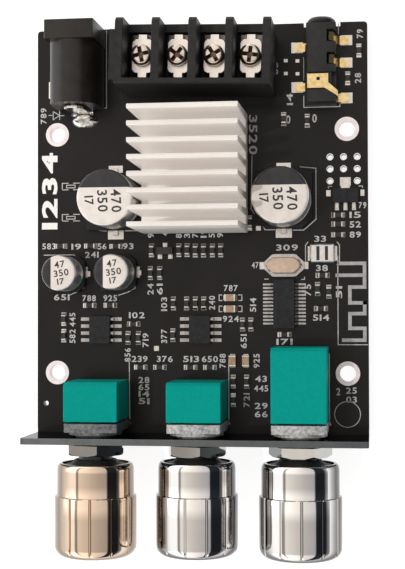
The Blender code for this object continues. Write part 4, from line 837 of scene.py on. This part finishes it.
def build_knob(index):
    """A plated shell: plain collar, twelve broad facets between fine grooves, rounded end, dished cap."""
    collar = 6.75 * MM
    outer = 7.15 * MM
    inner = 5.85 * MM
    length = 16.2 * MM
    step = 5.6 * MM
    rounding = 1.8 * MM
    profile = [(0.0, length - 0.25 * MM), (4.6 * MM, length - 0.25 * MM), (4.85 * MM, length - 0.18 * MM)]
    profile += [(5.0 * MM, length - 0.02 * MM), (5.2 * MM, length)]
    profile += shoulder(outer, length, rounding, rounding, 8)
    profile += [(outer, length - 2.6 * MM), (outer, 10.0 * MM), (outer, step + 0.24 * MM)]
    profile += [(outer - 0.06 * MM, step + 0.1 * MM), (outer - 0.16 * MM, step + 0.02 * MM)]
    profile += [(collar + 0.02 * MM, step - 0.02 * MM), (collar, step - 0.08 * MM), (collar, 3.2 * MM)]
    soft_in = 0.55 * MM
    soft_long = 1.3 * MM
    profile += shoulder(collar, 0.0, soft_in, -soft_long, 8)[::-1]
    profile += [(inner, 0.0), (inner, length - 1.6 * MM), (0.0, length - 1.6 * MM)]

    grooves = 12
    fine = 0.5 * MM
    depth = 0.3 * MM
    angles = []
    for groove in range(grooves):
        centre = math.tau * groove / grooves
        half = fine / outer / 2
        for off, deep in ((-1.0, 0.0), (-0.6, 0.75), (-0.3, 1.0), (0.3, 1.0), (0.6, 0.75), (1.0, 0.0)):
            angles.append((centre + off * half, deep))
        for k in range(1, 9):
            span = math.tau / grooves - 2 * half
            angles.append((centre + half + span * k / 9, 0.0))
    bm = bmesh.new()
    rings = []
    for i, (radius, height) in enumerate(profile):
        if radius == 0.0:
            rings.append([bm.verts.new((0.0, 0.0, height))])
            continue
        cut = 5 <= i <= 18 and height > step + 0.05 * MM
        ring = []
        for angle, deep in angles:
            limit = min(radius, outer - depth * deep) if cut and deep else radius
            ring.append(bm.verts.new((limit * math.cos(angle), limit * math.sin(angle), height)))
        rings.append(ring)
    stitch(bm, rings)
    bmesh.ops.transform(bm, matrix=knob_matrix(index), verts=bm.verts)
    # The first knob takes the warm-tinted copy of the chrome, a painted reflection.
    name = ("chrome_painted_warm_reflection", "chrome_plain", "chrome_plain")[index]
    obj = finish_mesh(f"knob_shell_{index + 1}", bm, name, 26.0, f"knob_assembly_{index + 1}")
    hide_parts(f"knob_{index + 1}")


CANS = (
    ("bulk_capacitor_left", 10.0, 10.3, -15.45, 4.9, "470"),
    ("bulk_capacitor_right", 10.0, 10.3, 15.05, 4.9, "470"),
    ("small_capacitor_left", 6.3, 7.6, -24.25, -8.1, "47"),
    ("small_capacitor_right", 6.3, 7.6, -14.85, -7.95, "47"),
)


def build_can(name, diameter, height, x, y):
    """A drawn can: foot, crimped neck, straight wall, rounded shoulder, and a printed top."""
    radius = diameter / 2 * MM
    high = height * MM
    foot = 1.6 * MM
    neck = foot + diameter * 0.13 * MM
    soft = 0.55 * MM
    profile = [(0.0, high), *shoulder(radius, high, soft, soft, 6), (radius, neck + 0.6 * MM)]
    for i in range(1, 8):
        angle = math.radians(180 * i / 8)
        profile.append((radius - 0.34 * MM * math.sin(angle), neck + 0.45 * MM * math.cos(angle)))
    profile += [(radius, neck - 0.6 * MM), (radius, foot + 0.15 * MM), (radius - 0.12 * MM, foot), (0.0, foot)]
    bm = bmesh.new()
    add_turned(bm, profile, 96, Matrix.Translation((x * MM, y * MM, TOP)))
    obj = finish_mesh(f"{name}_shell", bm, f"{name}_look", 30.0)
    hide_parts(f"{name}_can")


# Each printed number of a can: its place from the axis, its length and its height, in millimetres.
BIG_LINES = ((2.1, -0.6, 4.0, 1.8), (-0.3, -0.6, 3.8, 1.8), (-2.7, -0.5, 1.6, 1.6))
SMALL_LINES = ((0.2, 1.5, 1.9, 1.2), (0.5, 0.0, 2.7, 1.2), (0.4, -1.5, 1.3, 1.1))


def build_cans():
    """The cans and the plain numbers printed on them."""
    thick = 0.0205 * MM
    for name, diameter, height, x, y, value in CANS:
        build_can(name, diameter, height, x, y)
        lines, turn = (BIG_LINES, -87.0) if diameter > 8 else (SMALL_LINES, 8.0)
        low = TOP + height * MM - 0.02 * MM
        ink = bmesh.new()
        for text, (dx, dy, length, tall) in zip((value, "350", "17"), lines):
            add_number(ink, text, (x + dx) * MM, (y + dy) * MM, length * MM, tall * MM, turn, low, thick, 0.02)
        finish_mesh(f"{name}_print", ink, "can_print", 20.0)


def cut_away(obj, cutter, place):
    """Takes the cutter out of a piece, removes the cutter, and moves the result to its place."""
    step = obj.modifiers.new("cut", "BOOLEAN")
    step.operation = "DIFFERENCE"
    step.solver = "EXACT"
    step.use_self = True
    step.material_mode = "TRANSFER"
    step.object = cutter
    bpy.context.view_layer.update()
    graph = bpy.context.evaluated_depsgraph_get()
    mesh = bpy.data.meshes.new_from_object(obj.evaluated_get(graph))
    mesh.transform(place)
    obj.modifiers.clear()
    obj.data = mesh
    bpy.data.objects.remove(cutter, do_unlink=True)
    mesh.shade_smooth()
    mesh.set_sharp_from_angle(angle=math.radians(30))


def upright(low, high, degrees):
    """The upright axis in the middle of a box, turned by an angle."""
    centre = Matrix.Translation(((low[0] + high[0]) / 2, (low[1] + high[1]) / 2, 0.0))
    return centre @ Matrix.Rotation(math.radians(degrees), 4, "Z")


def add_wedge(bm, top, long_x):
    """One arm pair of a cross recess: wide above the head, narrow at its foot."""
    wide, narrow = 1.45 * MM, 0.36 * MM
    verts = []
    for z, scale in ((top + 0.4 * MM, 1.25), (top - 0.95 * MM, 0.35)):
        half_long, half_short = wide * scale, narrow * (0.7 + 0.3 * scale)
        half_x, half_y = (half_long, half_short) if long_x else (half_short, half_long)
        for sx, sy in ((-1, -1), (1, -1), (1, 1), (-1, 1)):
            verts.append(bm.verts.new((sx * half_x, sy * half_y, z)))
    for face in ((0, 1, 2, 3), (7, 6, 5, 4), (0, 4, 5, 1), (1, 5, 6, 2), (2, 6, 7, 3), (3, 7, 4, 0)):
        bm.faces.new([verts[i] for i in face])


def build_screws():
    """Cross-head screws: domed head with a recess cut by two crossed wedges."""
    head_high = 1.6 * MM
    long = 5.6 * MM
    soft = 0.7 * MM
    dome = 0.45 * MM
    thread = 1.25 * MM
    for pole, degrees in enumerate(SCREW_TURNS):
        low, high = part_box(f"terminal_screw_{pole + 1}")
        head = (high[1] - low[1]) / 2
        foot = high[2] - head_high
        top = foot + head_high
        profile = [(0.0, top)]
        for i in range(7):
            angle = math.radians(90 - 15 * i)
            profile.append((head - soft + soft * math.cos(angle), top - dome * (1 - math.sin(angle))))
        profile += [(head, foot + 0.06 * MM), (head - 0.06 * MM, foot)]
        profile += [(thread, foot), (thread, foot - long), (0.0, foot - long)]
        bm = bmesh.new()
        add_turned(bm, profile, 48)
        screw = finish_mesh(f"screw_shape_{pole + 1}", bm, "screw_steel", 30.0, None)
        recess = bmesh.new()
        for long_x in (True, False):
            add_wedge(recess, top, long_x)
        # The recess faces take the cutter's dark finish, a painted shade.
        cutter = finish_mesh("recess", recess, "recess_painted_shade", 30.0, None)
        cut_away(screw, cutter, upright(low, high, degrees))
        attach(screw, f"screw_{pole + 1}")
        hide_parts(f"terminal_screw_{pole + 1}")


def arc(x, y, radius, start, stop):
    """Points of an arc, in the way it is walked."""
    steps = 6
    angles = [math.radians(start + (stop - start) * i / steps) for i in range(steps + 1)]
    return [(x + radius * math.cos(angle), y + radius * math.sin(angle)) for angle in angles]


def build_clamps():
    """Clamping plates: round-cornered, with a narrow tab at each end and an eye for the screw."""
    half_x, half_y = 1.9 * MM, 3.0 * MM
    tab_x, tab_y = 0.85 * MM, 3.8 * MM
    radius = 0.9 * MM
    eye = 1.55 * MM
    for number in range(1, 5):
        low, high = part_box(f"terminal_screw_{number}")
        plate_low, plate_high = (corner[2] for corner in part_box(f"terminal_clamp_{number}"))
        tab = [(tab_x, half_y), (tab_x - 0.05 * MM, tab_y), (-tab_x + 0.05 * MM, tab_y), (-tab_x, half_y)]
        outline = arc(half_x - radius, half_y - radius, radius, 0, 90) + tab
        outline += arc(radius - half_x, half_y - radius, radius, 90, 180)
        outline += arc(radius - half_x, radius - half_y, radius, 180, 270) + [(-x, -y) for x, y in tab]
        outline += arc(half_x - radius, radius - half_y, radius, 270, 360)
        bm = bmesh.new()
        add_prism(bm, outline, plate_low, plate_high)
        plate = finish_mesh(f"clamp_plate_{number}", bm, "clamp_steel", 30.0, None)
        hole = bmesh.new()
        below, above = plate_low - MM, plate_high + MM
        add_turned(hole, [(0.0, below), (eye, below), (eye, above), (0.0, above)], 40)
        cutter = finish_mesh("eye", hole, "clamp_steel", 30.0, None)
        cut_away(plate, cutter, upright(low, high, TERM_SKEW))
        round_edges(plate, 0.12 * MM, 2)
        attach(plate, f"clamp_{number}")
        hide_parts(f"terminal_clamp_{number}")


def build_tip_leaf():
    """The socket's tip contact: a flat plate over the top, and an arm that crosses down to its foot."""
    low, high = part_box("audio_socket_tip")
    top = high[2]
    thick = 0.2 * MM
    foot_y = low[1] + 0.75 * MM
    near = high[1] - 2.5 * MM
    right = low[0] + 3.65 * MM
    post = high[0] - 1.85 * MM
    bm = bmesh.new()
    add_prism(bm, [(low[0], near), (right, near), (right, high[1]), (low[0], high[1])], top - thick, top)
    arm = [
        (right - 1.1 * MM, near + 0.25 * MM), (right - 0.1 * MM, near + 1.0 * MM),
        (post, foot_y + 0.5 * MM), (post, foot_y - 0.45 * MM),
    ]
    add_prism(bm, arm, top - 0.02 * MM, top + 0.14 * MM)
    add_box(bm, (post - thick, foot_y - 0.45 * MM, low[2]), (post, foot_y + 0.5 * MM, top + 0.14 * MM))
    add_box(bm, (post - thick, low[1], low[2]), (high[0], foot_y + 0.75 * MM, low[2] + thick))
    obj = finish_mesh("socket_tip_leaf", bm, "gold_plate", 30.0)
    hole = bmesh.new()
    radius = 0.32 * MM
    add_turned(hole, [(0.0, top - MM), (radius, top - MM), (radius, top + MM), (0.0, top + MM)], 16)
    cutter = finish_mesh("eye", hole, "gold_plate", 30.0, None)
    cutter.data.transform(Matrix.Translation((low[0] + 1.9 * MM, near + 1.6 * MM, 0.0)))
    cut_away(obj, cutter, Matrix.Identity(4))
    round_edges(obj, 0.05 * MM, 1)
    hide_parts("audio_socket_tip")


def build_board_lip():
    """The front edge of the board, drawn up to the inner face of the panel that it stands against."""
    low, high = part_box("circuit_board")
    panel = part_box("front_panel")[1][1]
    margin = 0.02 * MM
    near = (low[0] + margin, panel, low[2] + 0.01 * MM)
    bm = bmesh.new()
    add_box(bm, near, (high[0] - margin, low[1] + 1.2 * MM, TOP - 0.004 * MM))
    finish_mesh("board_lip", bm, "mask_black")


def dress_nodes():
    """Finishes and small roundings for the CAD nodes that show as they are."""
    tin_pair = ((0.66, 0.64, 0.61), (0.84, 0.82, 0.79), 0.28)
    epoxy = ((0.012, 0.012, 0.013), (0.022, 0.022, 0.024), 0.5)
    black = ((0.010, 0.010, 0.011), (0.017, 0.017, 0.018), 0.45)
    green = ((0.0, 0.235, 0.20), (0.0005, 0.26, 0.225), 0.55)
    lead_grey = ((0.36, 0.35, 0.34), (0.52, 0.51, 0.50), 0.3)
    beige = ((0.45, 0.33, 0.25), (0.55, 0.42, 0.33), 0.42)
    rim = ((0.50, 0.49, 0.48), (0.66, 0.65, 0.64), 0.3)
    for name, centre in (("wireless_chip", 15.1), ("preamp_left", -18.2), ("preamp_right", 0.0)):
        shade_two(f"{name}_look", "both", epoxy, lead_grey, "X", centre * MM, 1.96 * MM)
    shade_two("amplifier_look", "both", epoxy, tin_pair, "X", -0.55 * MM, 3.06 * MM)
    shade_two("regulator_look", "both", epoxy, tin_pair, "Y", 5.5 * MM, 1.26 * MM)
    moulded = shade_two("green_look", "below", green, tin_pair, "Z", TOP + 0.29 * MM, 0.0)
    set_inputs(moulded, {"Specular IOR Level": 0.06})
    crystal_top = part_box("crystal")[1][2]
    shade_two("crystal_look", "below", beige, rim, "Z", crystal_top, 0.35 * MM)
    low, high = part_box("wireless_module_filter")
    shade_filter("filter_look", (low[0] + high[0]) / 2, (low[1] + high[1]) / 2)
    for name, finish, *rounding in (
        ("circuit_board", "mask_black"), ("heatsink", "sink_metal", 0.1 * MM, 2), ("thermal_pad", "thermal"),
        ("amplifier_chip", "amplifier_look"), ("dc_inlet_housing", "inlet_black", 0.18 * MM, 3),
        ("dc_inlet_pin", "plated_steel"), ("dc_inlet_sleeve_spring", "plated_steel"),
        ("dc_inlet_switch_contact", "plated_steel"), ("terminal_housing", "block_black", 0.2 * MM, 2),
        ("audio_socket_housing", "socket_black", 0.12 * MM, 2), ("crystal", "crystal_look", 0.12 * MM, 2),
        ("wireless_chip", "wireless_chip_look"), ("preamp_chip_left", "preamp_left_look"),
        ("preamp_chip_right", "preamp_right_look"), ("regulator", "regulator_look", 0.06 * MM, 1),
        ("wireless_module_filter", "filter_look", 0.08 * MM, 1), ("front_panel", "panel_grey", 0.12 * MM, 2),
    ):
        dress(name, finish, *rounding)
    for number in range(1, 5):
        # Contacts take the dark finish, a painted shade in the cells of the block.
        dress(f"terminal_contact_{number}", "contact_painted_shade")
    for name in ("ground", "switch", "ring", "sleeve"):
        dress(f"audio_socket_{name}", "gold_plate")
    for name, diameter, _, x, y, _ in CANS:
        axis, centre, half = ("Y", y, 5.17) if diameter > 8 else ("X", x, 3.32)
        shade_two(f"{name}_base_look", "both", black, tin_pair, axis, centre * MM, half * MM)
        dress(f"{name}_base", f"{name}_base_look", 0.1 * MM, 1)
    for number in range(1, 4):
        dress(f"pot_housing_{number}", "green_look", 0.16 * MM, 2)
        # Frame 1 takes the shaded copy of the bracket metal, a painted shade.
        dress(f"pot_frame_{number}", "bracket_metal_shaded" if number == 1 else "bracket_metal", 0.1 * MM, 1)
        dress(f"pot_nut_{number}", "nut_metal", 0.1 * MM, 2)
        dress(f"pot_shaft_{number}", "shaft_dark")
        dress(f"knob_core_{number}", "core_black")


# Surroundings

def build_world():
    """Soft surroundings that depend on direction: a bright left, a pale ceiling and a dark gap on the right."""
    world = bpy.data.worlds.new("studio")
    bpy.context.scene.world = world
    world.use_nodes = True
    tree = world.node_tree
    background = tree.nodes["Background"]
    axes = split_axes(tree, "Generated")
    lean = math_node(tree, "ARCTAN2", axes["X"], axes["Z"])
    turn = math_node(tree, "ADD", math_node(tree, "DIVIDE", lean, math.tau), 0.5)

    def at(degrees):
        return 0.5 + degrees / 360.0

    white = (1.15, 1.14, 1.12)
    line = (0.30, 0.27, 0.25)
    black = (0.012, 0.014, 0.017)
    stops = (
        (at(-120), white), (at(-50), white), (at(-47), line), (at(-42), line), (at(-39), (0.86, 0.82, 0.76)),
        (at(-8), (0.68, 0.63, 0.58)), (at(20), (0.52, 0.49, 0.47)), (at(44), (0.42, 0.41, 0.42)),
        (at(47), black), (at(77), black), (at(82), (0.14, 0.15, 0.16)), (at(95), (0.42, 0.44, 0.47)),
    )
    # Brighter towards the connector side, where the metal of the heatsink and the cans picks it up, and
    # towards the knob side as well, for the walls of the fins and of the terminal block
    back = map_range(tree, axes["Y"], -0.08, 0.1, 1.0, 1.6)
    front = map_range(tree, axes["Y"], -0.32, -0.5, 0.0, 0.8)
    set_inputs(background, {"Color": ramp(tree, turn, stops), "Strength": math_node(tree, "ADD", back, front)})


def build_stage():
    bm = bmesh.new()
    size = 1.6
    points = [(-size, -size), (size, -size), (size, size), (-size, size)]
    add_prism(bm, points, LOWEST - 2.0 * MM, LOWEST - 0.02 * MM)
    tree, shader = new_tree("paper")
    color = between(tree, noise(tree, 3.0, 2.0), (0.30, 0.30, 0.30), (0.33, 0.33, 0.33))
    set_inputs(shader, {"Base Color": color, "Roughness": 0.9, "Specular IOR Level": 0.1})
    set_inputs(shader, {"Emission Color": (1.0, 1.0, 1.0, 1.0), "Emission Strength": 0.85})
    floor = finish_mesh("floor", bm, "paper", 30.0, None)


def build_sun():
    """A soft sun from the left, along the fins of the heatsink, so that it reaches down between them."""
    light = bpy.data.lights.new("sun", "SUN")
    light.energy = 1.3
    light.angle = math.radians(2.0)
    light.color = (1.0, 0.985, 0.96)
    obj = bpy.data.objects.new("sun", light)
    bpy.context.scene.collection.objects.link(obj)
    obj.rotation_euler = Vector((-0.36, -0.12, 0.92)).to_track_quat("Z", "Y").to_euler()
    obj.visible_glossy = False


def build_camera():
    camera = bpy.data.cameras.new("camera")
    camera.sensor_width = 36.0
    camera.sensor_fit = "AUTO"
    camera.lens = 81.63
    camera.clip_start = 0.01
    camera.clip_end = 10.0
    obj = bpy.data.objects.new("camera", camera)
    bpy.context.scene.collection.objects.link(obj)
    right = Vector((0.99135, -0.00229, -0.13122))
    up = Vector((0.00514, 0.99976, 0.02143))
    look = Vector((-0.13114, 0.02192, -0.99112))
    place = Vector((30.802, -15.192, 231.442)) * MM
    rows = [(right[k], up[k], -look[k], place[k]) for k in range(3)]
    obj.matrix_world = Matrix((*rows, (0.0, 0.0, 0.0, 1.0)))
    bpy.context.scene.camera = obj


def main():
    make_shades()
    dress_nodes()
    build_pads()
    build_chip_parts()
    build_printing()
    build_inlet_solder()
    build_underside()
    for index in range(3):
        build_knob(index)
    build_cans()
    build_screws()
    build_clamps()
    build_tip_leaf()
    build_board_lip()
    build_world()
    build_stage()
    build_sun()
    build_camera()
    bpy.context.scene.view_settings.view_transform = "Standard"
    bpy.context.scene.view_settings.look = "None"


main()
